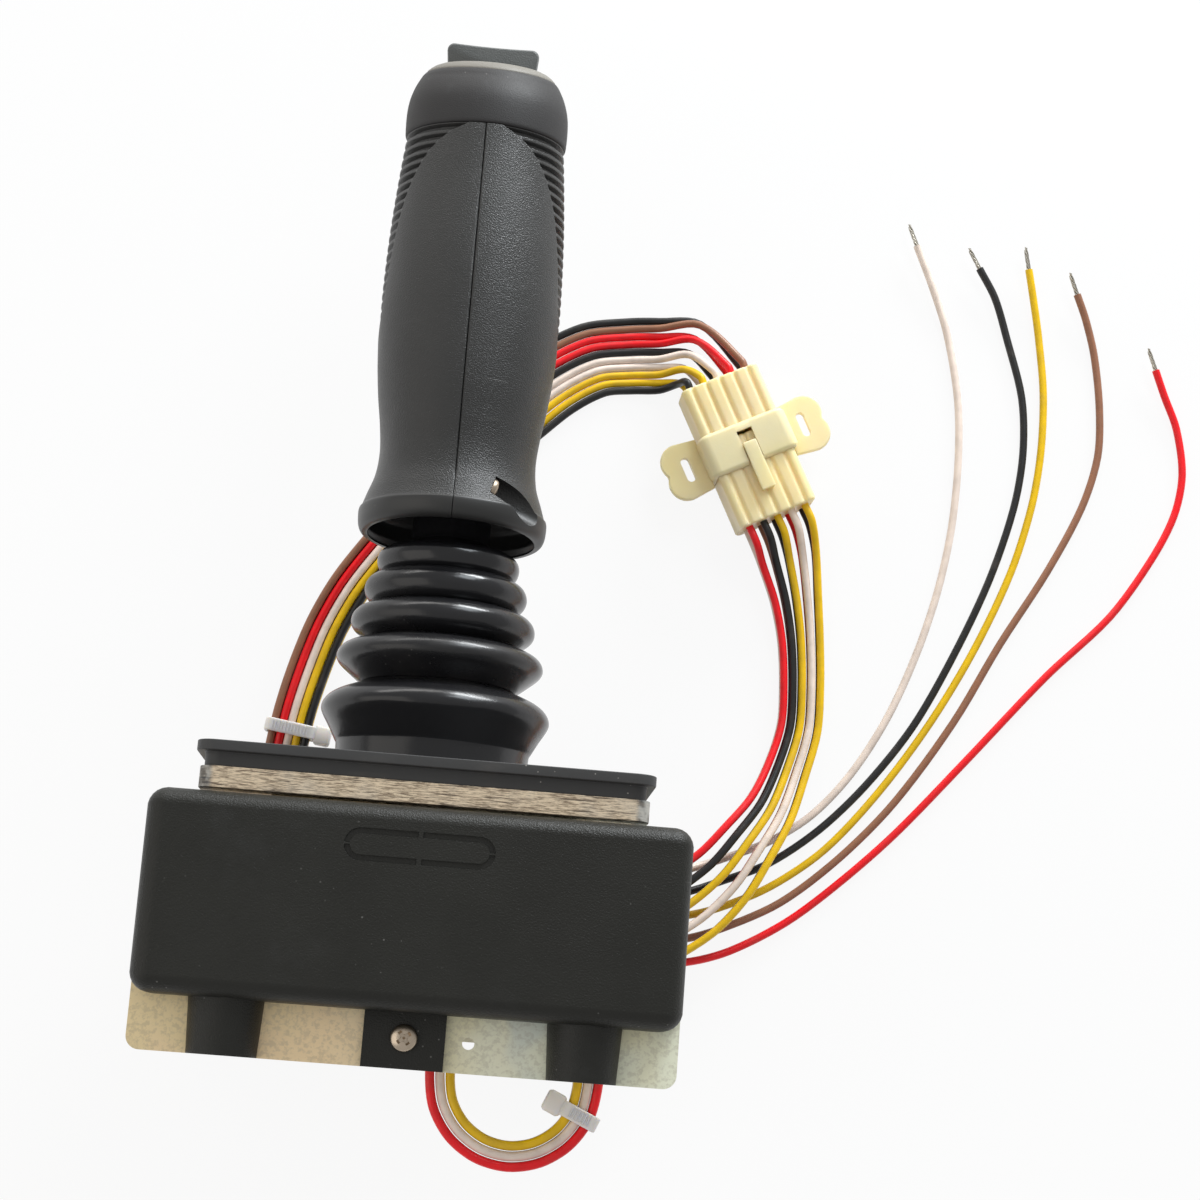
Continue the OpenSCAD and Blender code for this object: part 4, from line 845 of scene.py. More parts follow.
class Form:
    """Vertices and faces of one piece, gathered before they become a mesh."""

    def __init__(self) -> None:
        """Starts empty."""
        self.points: list[Vector] = []
        self.faces: list[tuple[int, ...]] = []

    def sheet(self, rows: Sequence[Sequence[Vector]], round_v: bool = False) -> "Form":
        """Adds a grid of faces over rows of points, each closed on itself.

        Args:
            rows: Rows with the same number of points.
            round_v: Whether the last row joins the first.

        Returns:
            The form itself.
        """
        start, n = len(self.points), len(rows[0])
        for row in rows:
            self.points.extend(row)
        for i in range(len(rows) if round_v else len(rows) - 1):
            here, there = start + i * n, start + (i + 1) % len(rows) * n
            for k in range(n):
                m = (k + 1) % n
                self.faces.append((here + k, here + m, there + m, there + k))
        return self

    def cap(self, row: Sequence[Vector]) -> "Form":
        """Closes a ring with one face of its own points.

        Args:
            row: The ring's points.

        Returns:
            The form itself.
        """
        start = len(self.points)
        self.points.extend(row)
        self.faces.append(tuple(range(start, start + len(row))))
        return self

    def solid(self, rows: Sequence[Sequence[Vector]]) -> "Form":
        """Adds a closed body through rings, with flat ends."""
        return self.sheet(rows).cap(rows[0]).cap(rows[-1])

    def lathe(self, profile: Sequence[tuple[float, float]], place: Callable[[float, float, float], Vector],
              sides: int = 96, closed: bool = False) -> "Form":
        """Turns a profile of radius and height about the upright axis.

        Args:
            profile: Pairs of radius and height in millimetres.
            place: Puts a standing point in the row frame.
            sides: Facets round the axis.
            closed: Whether the profile is a loop.

        Returns:
            The form itself.
        """
        rows = [[place(r * math.sin(a), -r * math.cos(a), z) for a in angles(sides)] for r, z in profile]
        if closed:
            return self.sheet(rows, round_v=True)
        return self.solid(rows)

    def mesh(self, name: str) -> bpy.types.Mesh:
        """Makes the mesh, its doubles merged and its faces turned outwards.

        Args:
            name: The mesh's name.

        Returns:
            The mesh.
        """
        made = bpy.data.meshes.new(name)
        made.from_pydata([tuple(p) for p in self.points], [], self.faces)
        turn_outwards(made)
        return made


@contextmanager
def worked(mesh: bpy.types.Mesh) -> Iterator[bmesh.types.BMesh]:
    """Opens a mesh for work and writes it back.

    Args:
        mesh: The mesh, changed in place.

    Returns:
        The open mesh, for as long as the block runs.
    """
    work = bmesh.new()
    work.from_mesh(mesh)
    yield work
    work.to_mesh(mesh)
    work.free()


def turn_outwards(mesh: bpy.types.Mesh) -> None:
    """Merges a mesh's doubles and turns its faces outwards.

    Args:
        mesh: The mesh, changed in place.
    """
    with worked(mesh) as work:
        bmesh.ops.remove_doubles(work, verts=work.verts, dist=1e-7)
        bmesh.ops.recalc_face_normals(work, faces=work.faces)


def stand(name: str, data: bpy.types.ID) -> bpy.types.Object:
    """Makes an object and links it to the scene.

    Args:
        name: The object's name.
        data: Its mesh, curve, camera or lamp.

    Returns:
        The object.
    """
    made = bpy.data.objects.new(name, data)
    bpy.context.scene.collection.objects.link(made)
    return made


def evaluated(thing: bpy.types.Object) -> bpy.types.Mesh:
    """Takes an object's shape, its modifiers included, as a plain mesh."""
    view = bpy.context.evaluated_depsgraph_get()
    return bpy.data.meshes.new_from_object(thing.evaluated_get(view), depsgraph=view)


def round_off(mesh: bpy.types.Mesh, width: float, steps: int = 2, over: float = 35.0) -> None:
    """Rounds a mesh's sharp edges.

    Args:
        mesh: The mesh, changed in place.
        width: Width of the rounding in millimetres.
        steps: Facets across it.
        over: Least angle in degrees between faces whose edge is rounded.
    """
    with worked(mesh) as work:
        bmesh.ops.remove_doubles(work, verts=work.verts, dist=2e-6)
        bmesh.ops.dissolve_limit(work, angle_limit=math.radians(0.5), verts=work.verts, edges=work.edges)
        sharp = [e for e in work.edges if len(e.link_faces) == 2 and e.calc_face_angle(0) > math.radians(over)]
        bmesh.ops.bevel(work, geom=sharp, offset=width * MM, segments=steps, affect="EDGES", clamp_overlap=True,
                        profile=0.5)


def finish_on(mesh: bpy.types.Mesh, name: str, material: bpy.types.Material, crease: float) -> bpy.types.Object:
    """Gives a mesh its material and smooth shading up to a crease in degrees, and stands it in the scene.

    Args:
        mesh: The mesh.
        name: The object's name.
        material: Its finish.
        crease: Least angle in degrees that stays sharp.

    Returns:
        The object.
    """
    mesh.materials.clear()
    mesh.materials.append(material)
    mesh.shade_smooth()
    mesh.set_sharp_from_angle(angle=math.radians(crease))
    return stand(name, mesh)


def finished(mesh: bpy.types.Mesh, name: str, material: bpy.types.Material, body: str,
             stands_for: Iterable[str] = (), crease: float = 38.0, flats: bool = False) -> bpy.types.Object:
    """Turns a mesh into a piece that rides on a body.

    Args:
        mesh: The mesh, in the row frame.
        name: The piece's name.
        material: Its finish.
        body: The CAD body that it rides on.
        stands_for: CAD nodes that it replaces.
        crease: Least angle in degrees that stays sharp.
        flats: Whether its large flat faces keep flat shading beside the rounded ones.

    Returns:
        The piece.
    """
    piece = finish_on(mesh, name, material, crease)
    if flats:
        modifier = piece.modifiers.new("flats", "WEIGHTED_NORMAL")
        modifier.keep_sharp, modifier.weight = True, 80
        piece.data = evaluated(piece)
        piece.modifiers.clear()
    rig.ride(piece, body)
    if stands_for:
        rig.replaces(piece, *stands_for)
    return piece


def softened(node: str, material: bpy.types.Material, width: float, body: str = "base",
             steps: int = 2, crease: float = 38.0) -> bpy.types.Object:
    """Stands in for a CAD node with the same shape and rounded edges.

    Args:
        node: The CAD node.
        material: The piece's finish.
        width: Width of the rounding in millimetres.
        body: The body that the node rides on.
        steps: Facets across each rounding.
        crease: Least angle in degrees that stays sharp.

    Returns:
        The piece.
    """
    mesh = frame["nodes"][node].data.copy()
    turn_outwards(mesh)
    round_off(mesh, width, steps)
    return finished(mesh, node + "_piece", material, body, [node], crease, flats=True)


def carved(mesh: bpy.types.Mesh, tool: bpy.types.Mesh, operation: str = "DIFFERENCE") -> bpy.types.Mesh:
    """Cuts, joins or crosses two closed meshes.

    Args:
        mesh: The mesh to work on.
        tool: The mesh that it meets.
        operation: DIFFERENCE, UNION or INTERSECT.

    Returns:
        A new mesh.
    """
    body, knife = stand("body", mesh), stand("knife", tool)
    modifier = body.modifiers.new("carve", "BOOLEAN")
    modifier.operation, modifier.solver, modifier.object = operation, "EXACT", knife
    result = evaluated(body)
    bpy.data.objects.remove(body)
    bpy.data.objects.remove(knife)
    return result


def leaned(lean: float, height: float, share: float = 1.0) -> Callable[[float, float, float], Vector]:
    """Places points on a face that leans forward round the stem.

    Args:
        lean: The face's lean in degrees.
        height: Its height on the stem's axis.
        share: How much of the lean is taken.

    Returns:
        A function that puts a point of the face in the row frame.
    """
    a = math.radians(lean * share)

    def place(x: float, y: float, z: float) -> Vector:
        """Turns one point."""
        return lay(x, y * math.cos(a) - z * math.sin(a), height + y * math.sin(a) + z * math.cos(a))

    return place


def dress(material: bpy.types.Material, *nodes: str) -> None:
    """Gives CAD nodes their finish.

    Args:
        material: The finish.
        *nodes: The CAD nodes that get it.
    """
    for node in nodes:
        mesh = frame["nodes"][node].data
        mesh.materials.clear()
        mesh.materials.append(material)


class Weave(Tree):
    """A Geometry Nodes tree that is built once and grown on a curve or mesh."""

    def __init__(self, name: str, sizes: dict[str, float], forms: Sequence[str] = ()) -> None:
        """Makes a tree with a geometry input and named sizes.

        Args:
            name: The tree's name.
            sizes: Default value of each named input.
            forms: Names of inputs that take an object.
        """
        super().__init__(bpy.data.node_groups.new(name, "GeometryNodeTree"))
        face = self.tree.interface
        for way in ("INPUT", "OUTPUT"):
            face.new_socket("Geometry", in_out=way, socket_type="NodeSocketGeometry")
        self.keys = {}
        for key, value in sizes.items():
            socket = face.new_socket(key, in_out="INPUT", socket_type="NodeSocketFloat")
            socket.default_value = value
            self.keys[key] = socket.identifier
        for key, kind in (*((form, "Object") for form in forms), ("Finish", "Material")):
            self.keys[key] = face.new_socket(key, in_out="INPUT", socket_type="NodeSocket" + kind).identifier
        self.input = self.node("NodeGroupInput")
        self.output = self.node("NodeGroupOutput")

    def size(self, key: str) -> bpy.types.NodeSocket:
        """The group input's socket of one named size."""
        return self.input.outputs[key]

    def math(self, operation: str, a: object, b: object = 0.0) -> bpy.types.NodeSocket:
        """Adds one Math node and returns its output."""
        return self.node("ShaderNodeMath", {"operation": operation}, {0: a, 1: b}).outputs[0]

    def arrow(self, name: str) -> bpy.types.NodeSocket:
        """An arrow stored on the seed's points."""
        return self.node("GeometryNodeInputNamedAttribute", {"data_type": "FLOAT_VECTOR"}, {"Name": name}).outputs[0]

    def close(self, geometry: bpy.types.NodeSocket) -> None:
        """Ends the tree in Realize Instances and Set Material.

        Args:
            geometry: What the tree has made.
        """
        real = self.node("GeometryNodeRealizeInstances", None, {0: geometry})
        done = self.node("GeometryNodeSetMaterial", None, {0: real.outputs[0], "Material": self.size("Finish")})
        self.set(self.output.inputs[0], done.outputs[0])

    def grow(self, seed: bpy.types.Object, material: bpy.types.Material,
             **sizes: float | bpy.types.Object) -> bpy.types.Mesh:
        """Runs the tree on an object and takes the result as a plain mesh.

        Args:
            seed: The curve or mesh object that it starts from, removed afterwards.
            material: The result's finish.
            **sizes: Values or objects for named inputs.

        Returns:
            The mesh.
        """
        modifier = seed.modifiers.new("grow", "NODES")
        modifier.node_group = self.tree
        for key, value in {**sizes, "Finish": material}.items():
            modifier[self.keys[key]] = value
        mesh = evaluated(seed)
        seed.modifiers.clear()
        bpy.data.objects.remove(seed)
        return mesh


def curve_of(lines: Sequence[Sequence[Vector]]) -> bpy.types.Object:
    """Makes a curve object with one open spline for each line.

    Args:
        lines: The splines' points, in metres.

    Returns:
        The curve object.
    """
    data = bpy.data.curves.new("line", "CURVE")
    data.dimensions = "3D"
    for line in lines:
        spline = data.splines.new("POLY")
        spline.points.add(len(line) - 1)
        for point, place in zip(spline.points, line):
            point.co = (*place, 1.0)
    return stand("line", data)


def tube_weave() -> Weave:
    """A round tube along each spline, with its distance stored as "along".

    Returns:
        The tree.
    """
    sides = 14
    weave = Weave("wire tube", {"Radius": MM})
    along = weave.node("GeometryNodeSplineParameter")
    stored = weave.node(
        "GeometryNodeStoreNamedAttribute", {"data_type": "FLOAT", "domain": "POINT"},
        {"Geometry": weave.input.outputs[0], "Name": "along", "Value": along.outputs["Length"]},
    )
    circle = weave.node("GeometryNodeCurvePrimitiveCircle", None, {"Resolution": sides, "Radius": weave.size("Radius")})
    tube = weave.node(
        "GeometryNodeCurveToMesh", None,
        {"Curve": stored.outputs[0], "Profile Curve": circle.outputs[0], "Fill Caps": True},
    )
    weave.close(tube.outputs[0])
    return weave


def scatter_weave() -> Weave:
    """Sets a form on every point, its Z turned along the "ahead" arrow and its X along "across".

    Returns:
        The tree.
    """
    weave = Weave("set of forms", {"Size": 1.0}, ["Form"])
    form = weave.node("GeometryNodeObjectInfo", None, {"Object": weave.size("Form")})
    stood = weave.node("FunctionNodeAlignRotationToVector", {"axis": "Z"}, {"Vector": weave.arrow("ahead")})
    turn = weave.node(
        "FunctionNodeAlignRotationToVector", {"axis": "X", "pivot_axis": "Z"},
        {"Rotation": stood.outputs[0], "Vector": weave.arrow("across")},
    )
    points = weave.node("GeometryNodeMeshToPoints", None, {"Mesh": weave.input.outputs[0]})
    placed = weave.node(
        "GeometryNodeInstanceOnPoints", None,
        {"Points": points.outputs[0], "Instance": form.outputs["Geometry"], "Rotation": turn.outputs[0],
         "Scale": weave.size("Size")},
    )
    weave.close(placed.outputs[0])
    return weave


def store_arrows(mesh: bpy.types.Mesh, name: str, arrows: Sequence[Vector]) -> None:
    """Stores an arrow on each of a mesh's points."""
    mesh.attributes.new(name, "FLOAT_VECTOR", "POINT").data.foreach_set("vector", [c for v in arrows for c in v])


def spots_of(places: Sequence[Vector], ahead: Sequence[Vector], across: Sequence[Vector] = ()) -> bpy.types.Object:
    """Makes points that carry arrows.

    Args:
        places: The points, in metres.
        ahead: Which way each faces.
        across: Which way the X of each lies, where that matters.

    Returns:
        An object with the points as its mesh.
    """
    mesh = bpy.data.meshes.new("spots")
    mesh.from_pydata([tuple(p) for p in places], [], [])
    store_arrows(mesh, "ahead", ahead)
    store_arrows(mesh, "across", across or [Vector((0, 0, 0))] * len(places))
    return stand("spots", mesh)


def upright(x: float, y: float, z: float) -> Vector:
    """Turns millimetres into metres and leaves the axes as they are."""
    return Vector((x, y, z)) * MM


@dataclass
class PanScrew:
    """Cross-recessed pan-head screw, its head's crown at the origin and its shank below."""

    thread: float
    head: float
    height: float
    length: float
    turn: float = 38.0
    # Shares of the thread's diameter
    pitch: float = 0.17
    groove: float = 0.07
    # Shares of the head's height
    dome: float = 0.62
    chamfer: float = 0.08
    recess: float = 0.72
    pit: float = 0.86
    # Length and width of the cross's arms as shares of the head, and how far they narrow
    arm: tuple[float, float] = (0.66, 0.15)
    arm_taper: float = 0.62

    def profile(self) -> list[tuple[float, float]]:
        """Radius and height down the head and along the threaded shank.

        Returns:
            Pairs of radius and height in millimetres.
        """
        r, h, thread = self.head / 2, self.height, self.thread / 2
        arc = (math.pi / 2 * k / 8 for k in range(1, 8))
        line = [
            (0.02, 0.0), *((r * math.sin(a), h * (math.cos(a) - 1) * self.dome) for a in arc), (r, -self.dome * h),
            (r, (self.chamfer - 1) * h), (r - self.chamfer * h, -h), (thread + 0.1, -h),
        ]
        pitch, root = self.thread * self.pitch, thread - self.thread * self.groove
        z = -h
        while z > -h - self.length + pitch:
            line += [(root, z - pitch * 0.1), (thread, z - pitch * 0.5)]
            z -= pitch
        return [*line, (root, -h - self.length), (0.02, -h - self.length)]

    def form(self) -> bpy.types.Object:
        """Makes one screw.

        Returns:
            Its object.
        """
        r, h, over = self.head / 2, self.height, 0.3
        mesh = Form().lathe(self.profile(), upright, 32).mesh("screw")
        for quarter in (0, 90):
            a = math.radians(self.turn + quarter)
            rows = []
            for z, share in ((over, 1.0), (-self.recess * h, self.arm_taper)):
                wide, thick = r * self.arm[0] * share, r * self.arm[1]
                corners = ((-wide, -thick), (wide, -thick), (wide, thick), (-wide, thick))
                rows.append([upright(x * math.cos(a) - y * math.sin(a), x * math.sin(a) + y * math.cos(a), z)
                             for x, y in corners])
            mesh = carved(mesh, Form().solid(rows).mesh("recess"))
        pit = Form().lathe([(r * 0.3, over), (r * 0.24, -0.5 * h), (0.05, -self.pit * h)], upright, 16).mesh("pit")
        return stand("screw", carved(mesh, pit))

    def set_in(self, node: str, spots: Sequence[tuple[Point, Point]], material: bpy.types.Material,
               weave: Weave, body: str = "base") -> None:
        """Sets screws in their places, in the stead of a CAD node.

        Args:
            node: The CAD node that they replace.
            spots: Place of each crown in the row frame in millimetres, and where it faces.
            material: Their finish.
            weave: The tree that sets them.
            body: The body that they ride on.
        """
        form = self.form()
        seed = spots_of([upright(*at) for at, _ in spots], [Vector(ahead) for _, ahead in spots])
        made = weave.grow(seed, material, Form=form)
        bpy.data.objects.remove(form)
        finished(made, node + "_piece", material, body, [node], 30)


# ------------------------------------------------------------------ harness


class Side(Enum):
    """Which side of its piece something is on."""

    LEFT = -1
    RIGHT = 1


@dataclass
class Connector:
    """Ten-way nylon connector on the harness: a receptacle with ears, and its plug."""

    at: Point = (77.0, 111.0, -58.2)
    turn: float = 27.0
    ways: int = 5
    way_pitch: float = 4.1
    row_pitch: float = 5.2
    cap_len: float = 20.0
    plug_len: float = 21.0
    housing: tuple[float, float] = (22.4, 12.6)
    collar: Point = (25.4, 15.6, 12.0)
    corner: float = 1.6
    collar_corner: float = 2.6
    # Depth and width of the valleys between the ways, and their depth in the collar's bore
    valley: tuple[float, float] = (0.75, 0.55)
    bore_valley: float = 0.4
    bore_room: float = 0.5
    ear_size: Point = (10.0, 16.0, 2.2)
    ear_corner: float = 0.8
    # Degrees where an ear's lobe starts, and that it turns through
    lobe: tuple[float, float] = (100.0, 130.0)
    # Radius of an ear's slot, and half the distance between its ends
    slot: tuple[float, float] = (1.2, 2.3)
    # Half the latch window's width, and its heights over the connector's middle
    window: Point = (2.2, 5.0, 9.0)
    # Sections of the latch and of its foot: across, and height over the broad side
    latch: tuple = ((1.9, 1.9), (1.6, 2.1), (-1.6, 2.1), (-1.9, 1.9), (-1.9, 0.8), (1.9, 0.8))
    latch_foot: tuple = ((1.8, 1.6), (-1.8, 1.6), (-1.8, -0.6), (1.8, -0.6))
    # Where each starts and ends, from the plug's rear
    latch_run: tuple[float, float] = (7.0, 21.0)
    foot_run: tuple[float, float] = (7.1, 9.5)

    def point(self, u: float, v: float, w: float) -> Vector:
        """Puts a point of the connector in the row frame, in millimetres."""
        c, s = math.cos(math.radians(self.turn)), math.sin(math.radians(self.turn))
        return Vector((self.at[0] + u * c - v * s, self.at[1] + u * s + v * c, self.at[2] + w))

    def column(self, wire: int) -> float:
        """Which column a wire belongs to, counted from the middle."""
        return wire // 2 - (self.ways - 1) / 2

    def mouth(self, wire: int, v: float) -> Vector:
        """Where a wire passes at a distance v along the connector."""
        return self.point(-self.column(wire) * self.way_pitch, v, (wire % 2 - 0.5) * self.row_pitch)

    def outline(self, wide: float, thick: float, radius: float, dip: float) -> list[tuple[float, float]]:
        """A housing's cross-section: round corners, and a dip between each two ways.

        Args:
            wide: Width across the ways.
            thick: Thickness over both rows.
            radius: Radius of its corners.
            dip: Depth of the valleys between the ways.

        Returns:
            Points round the section.
        """
        half, top = wide / 2, thick / 2
        steps = 90
        broad = []
        for i in range(steps + 1):
            u = (half - radius) * (1 - 2 * i / steps)
            off = abs((u / self.way_pitch - self.ways / 2 + 0.5) % 1.0 - 0.5)
            broad.append((u, top - dip * math.exp(-(((0.5 - off) * self.way_pitch / self.valley[1]) ** 2))))
        quarter = [(radius * math.sin(a), radius * math.cos(a)) for a in (math.pi / 12 * k for k in range(7))]
        side = half - radius
        corners = [(-side - u, top - radius + w) for u, w in quarter[1:]]
        corners += [(-side - w, radius - top - u) for u, w in quarter[:-1]]
        upper = [*broad, *corners]
        return [*upper, *((-u, -w) for u, w in upper)]

    def bar(self, outline: Sequence[tuple[float, float]], low: float, high: float,
            rounded: float = 0.6) -> bpy.types.Mesh:
        """Runs a section along the connector and rounds its two ends.

        Args:
            outline: The section.
            low: Where it starts.
            high: Where it ends.
            rounded: Width of the rounding at its ends.

        Returns:
            Its mesh.
        """
        reach, depth = max(abs(u) for u, _ in outline), 7
        rows = []
        for v, pull in rounded_run(low, high, ((0.0, 1.0), (0.3 * rounded, 0.42), (rounded, 0.0))):
            wide, thick = 1 - pull * rounded / reach, 1 - pull * rounded / depth
            rows.append([self.point(u * wide, v, w * thick) * MM for u, w in outline])
        return Form().solid(rows).mesh("bar")

    def ear(self, side: Side) -> bpy.types.Mesh:
        """A flat ear with a slot and two lobes.

        Args:
            side: Which end of the collar it stands on.

        Returns:
            Its mesh.
        """
        s, (wide, length, thick) = side.value, self.ear_size
        middle = self.collar[0] / 2 + wide * 0.4
        root, end_at = -wide * 0.45, length / 2 - self.ear_corner
        start, arc = self.lobe
        plan = [(root, -end_at), (root, end_at)]
        for end, first in ((1, start), (-1, arc - start)):
            for a in (math.radians(first - arc * k / 12) for k in range(13)):
                plan.append((wide * 0.2 + wide / 2 * math.cos(a), end * (length - wide) / 2 + wide / 2 * math.sin(a)))
        rows = []
        for w, pull in rounded_run(-thick / 2, thick / 2, ((0.0, 0.5), (0.15, 0.15), (0.5, 0.0))):
            rows.append([
                self.point(s * (middle + x - math.copysign(pull, x)), y - math.copysign(min(pull, abs(y)), y), w) * MM
                for x, y in plan
            ])
        r, reach = self.slot
        slot = [
            self.point(s * (middle + 0.5) + r * math.cos(a), math.copysign(reach, math.sin(a)) + r * math.sin(a), 0)
            for a in (math.pi * (k + 0.5) / 10 for k in range(20))
        ]
        lift = Vector((0, 0, 3))
        knife = Form().solid([[(p + lift * e) * MM for p in slot] for e in (-1, 1)]).mesh("slot")
        return carved(Form().solid(rows).mesh("ear"), knife)

    def receptacle(self) -> bpy.types.Mesh:
        """The receptacle: a fluted housing, a collar with a latch window, and two ears.

        Returns:
            Its mesh.
        """
        across, thick = self.housing
        wide, high, long = self.collar
        mesh = self.bar(self.outline(across, thick, self.corner, self.valley[0]), long / 2 - 1, self.cap_len)
        collar = self.outline(wide, high, self.collar_corner, 0.0)
        mesh = carved(mesh, self.bar(collar, -long / 2, long / 2, 1.2), "UNION")
        for side in Side:
            mesh = carved(mesh, self.ear(side), "UNION")
        bore = self.outline(across + self.bore_room, thick + self.bore_room, self.corner, self.bore_valley)
        mesh = carved(mesh, self.bar(bore, -long / 2 - 2, long / 2 - 1.5, 0.1))
        half, low, top = self.window
        window = [(half, top), (-half, top), (-half, low), (half, low)]
        return carved(mesh, self.bar(window, -1.0 - long / 2, long / 2 - 2.4, 0.02))

    def plug(self) -> bpy.types.Mesh:
        """The plug: a fluted housing with a latch on one broad side.

        Returns:
            Its mesh.
        """
        across, thick = self.housing
        body = self.outline(across, thick, self.corner, self.valley[0])
        mesh = self.bar(body, -self.plug_len, self.collar[2] / 2 - 3)
        for section, (low, high), edge in (
            (self.latch, self.latch_run, 0.3), (self.latch_foot, self.foot_run, 0.1),
        ):
            raised = [(u, thick / 2 + w) for u, w in section]
            mesh = carved(mesh, self.bar(raised, low - self.plug_len, high - self.plug_len, edge), "UNION")
        return mesh

    def build(self, looks: Finishes) -> list[bpy.types.Object]:
        """Makes the two housings.

        Args:
            looks: The stick's finishes.

        Returns:
            The receptacle and the plug.
        """
        return [
            finished(mesh, node + "_piece", looks.nylon, "base", [node], 40, flats=True)
            for mesh, node in ((self.receptacle(), "connector_receptacle"), (self.plug(), "connector_plug"))
        ]


@dataclass
class Tie:
    """Cable tie: a toothed band round two layers of wires, and its head."""

    node: str
    at: Point
    turn: float
    across: float
    head_side: Side
    wall: float = 0.9
    width: float = 3.4
    head: float = 4.4
    room: float = 2.7
    thick: float = 4.95
    corner: float = 1.05
    rim_round: float = 0.25
    head_corner: float = 0.8
    head_over: float = 0.3
    tooth: Point = (2.3, 0.36, 0.5)
    tooth_pitch: float = 0.85
    toothless: float = 1.4

    def point(self, x: float, y: float, z: float) -> Vector:
        """Puts a point of the tie, x across and y up, in the row frame in metres."""
        c, s = math.cos(math.radians(self.turn)), math.sin(math.radians(self.turn))
        return Vector((self.at[0] + x * c + z * s, self.at[1] + x * s - z * c, self.at[2] + y)) * MM

    def band(self) -> bpy.types.Mesh:
        """The band round the wires.

        Returns:
            Its mesh.
        """
        wide, inner, soft = self.width / 2, self.corner, self.width / 2 - self.rim_round
        rim = ((0.0, -wide), (0.0, wide), (self.wall * 0.75, wide), (self.wall, soft), (self.wall, -soft),
               (self.wall * 0.75, -wide))
        corners = round_corners((self.across + self.room) / 2 - inner, self.thick / 2 - inner, inner, 6)
        rows = [[self.point(x + out * math.cos(a), y + out * math.sin(a), z) for out, z in rim] for x, y, a in corners]
        return Form().sheet(rows, round_v=True).mesh("band")

    def lock(self) -> bpy.types.Mesh:
        """The head beside the wires.

        Returns:
            Its mesh.
        """
        middle = self.head_side.value * ((self.across + self.room + self.head + self.wall) / 2)
        r, over, half = self.head_corner, self.head_over, self.head / 2
        rows = []
        for z, pull in rounded_run(-half - over, half + over, ((0.0, 0.7), (over, 0.22), (over + 0.4, 0.0))):
            corners = round_corners(half - r, half - r, r - pull, 5)
            rows.append([self.point(middle + x, y, z) for x, y, _ in corners])
        return Form().solid(rows).mesh("head")

    def teeth(self, weave: Weave, material: bpy.types.Material) -> bpy.types.Mesh:
        """The row of teeth on the band's upper side.

        Args:
            weave: The tree that sets them.
            material: Their finish.

        Returns:
            Their mesh.
        """
        long, thin, tall = (v / 2 * MM for v in self.tooth)
        tooth = Form().solid([
            [Vector((x, y, z)) for x, y in ((-long, -thin * k), (long, -thin * k), (long, thin * k), (-long, thin * k))]
            for z, k in ((-tall, 1.0), (tall * 0.4, 1.0), (tall, 0.4))
        ]).mesh("tooth")
        form = stand("tooth", tooth)
        count = int((self.across + self.room - self.toothless) / self.tooth_pitch)
        places = [
            self.point((k - (count - 1) / 2) * self.tooth_pitch, self.thick / 2 + self.wall, 0) for k in range(count)
        ]
        along = (self.point(0, 0, 1) - self.point(0, 0, 0)).normalized()
        made = weave.grow(spots_of(places, [Vector((0, 0, 1))] * count, [along] * count), material, Form=form)
        bpy.data.objects.remove(form)
        return made

    def build(self, looks: Finishes, weave: Weave) -> None:
        """Makes the band, its teeth and its head as one piece.

        Args:
            looks: The stick's finishes.
            weave: The tree that sets the teeth.
        """
        mesh = carved(self.band(), self.lock(), "UNION")
        teeth = self.teeth(weave, looks.tie)
        with worked(mesh) as work:
            work.from_mesh(teeth)
        finished(mesh, self.node + "_piece", looks.tie, "base", [self.node], 35)


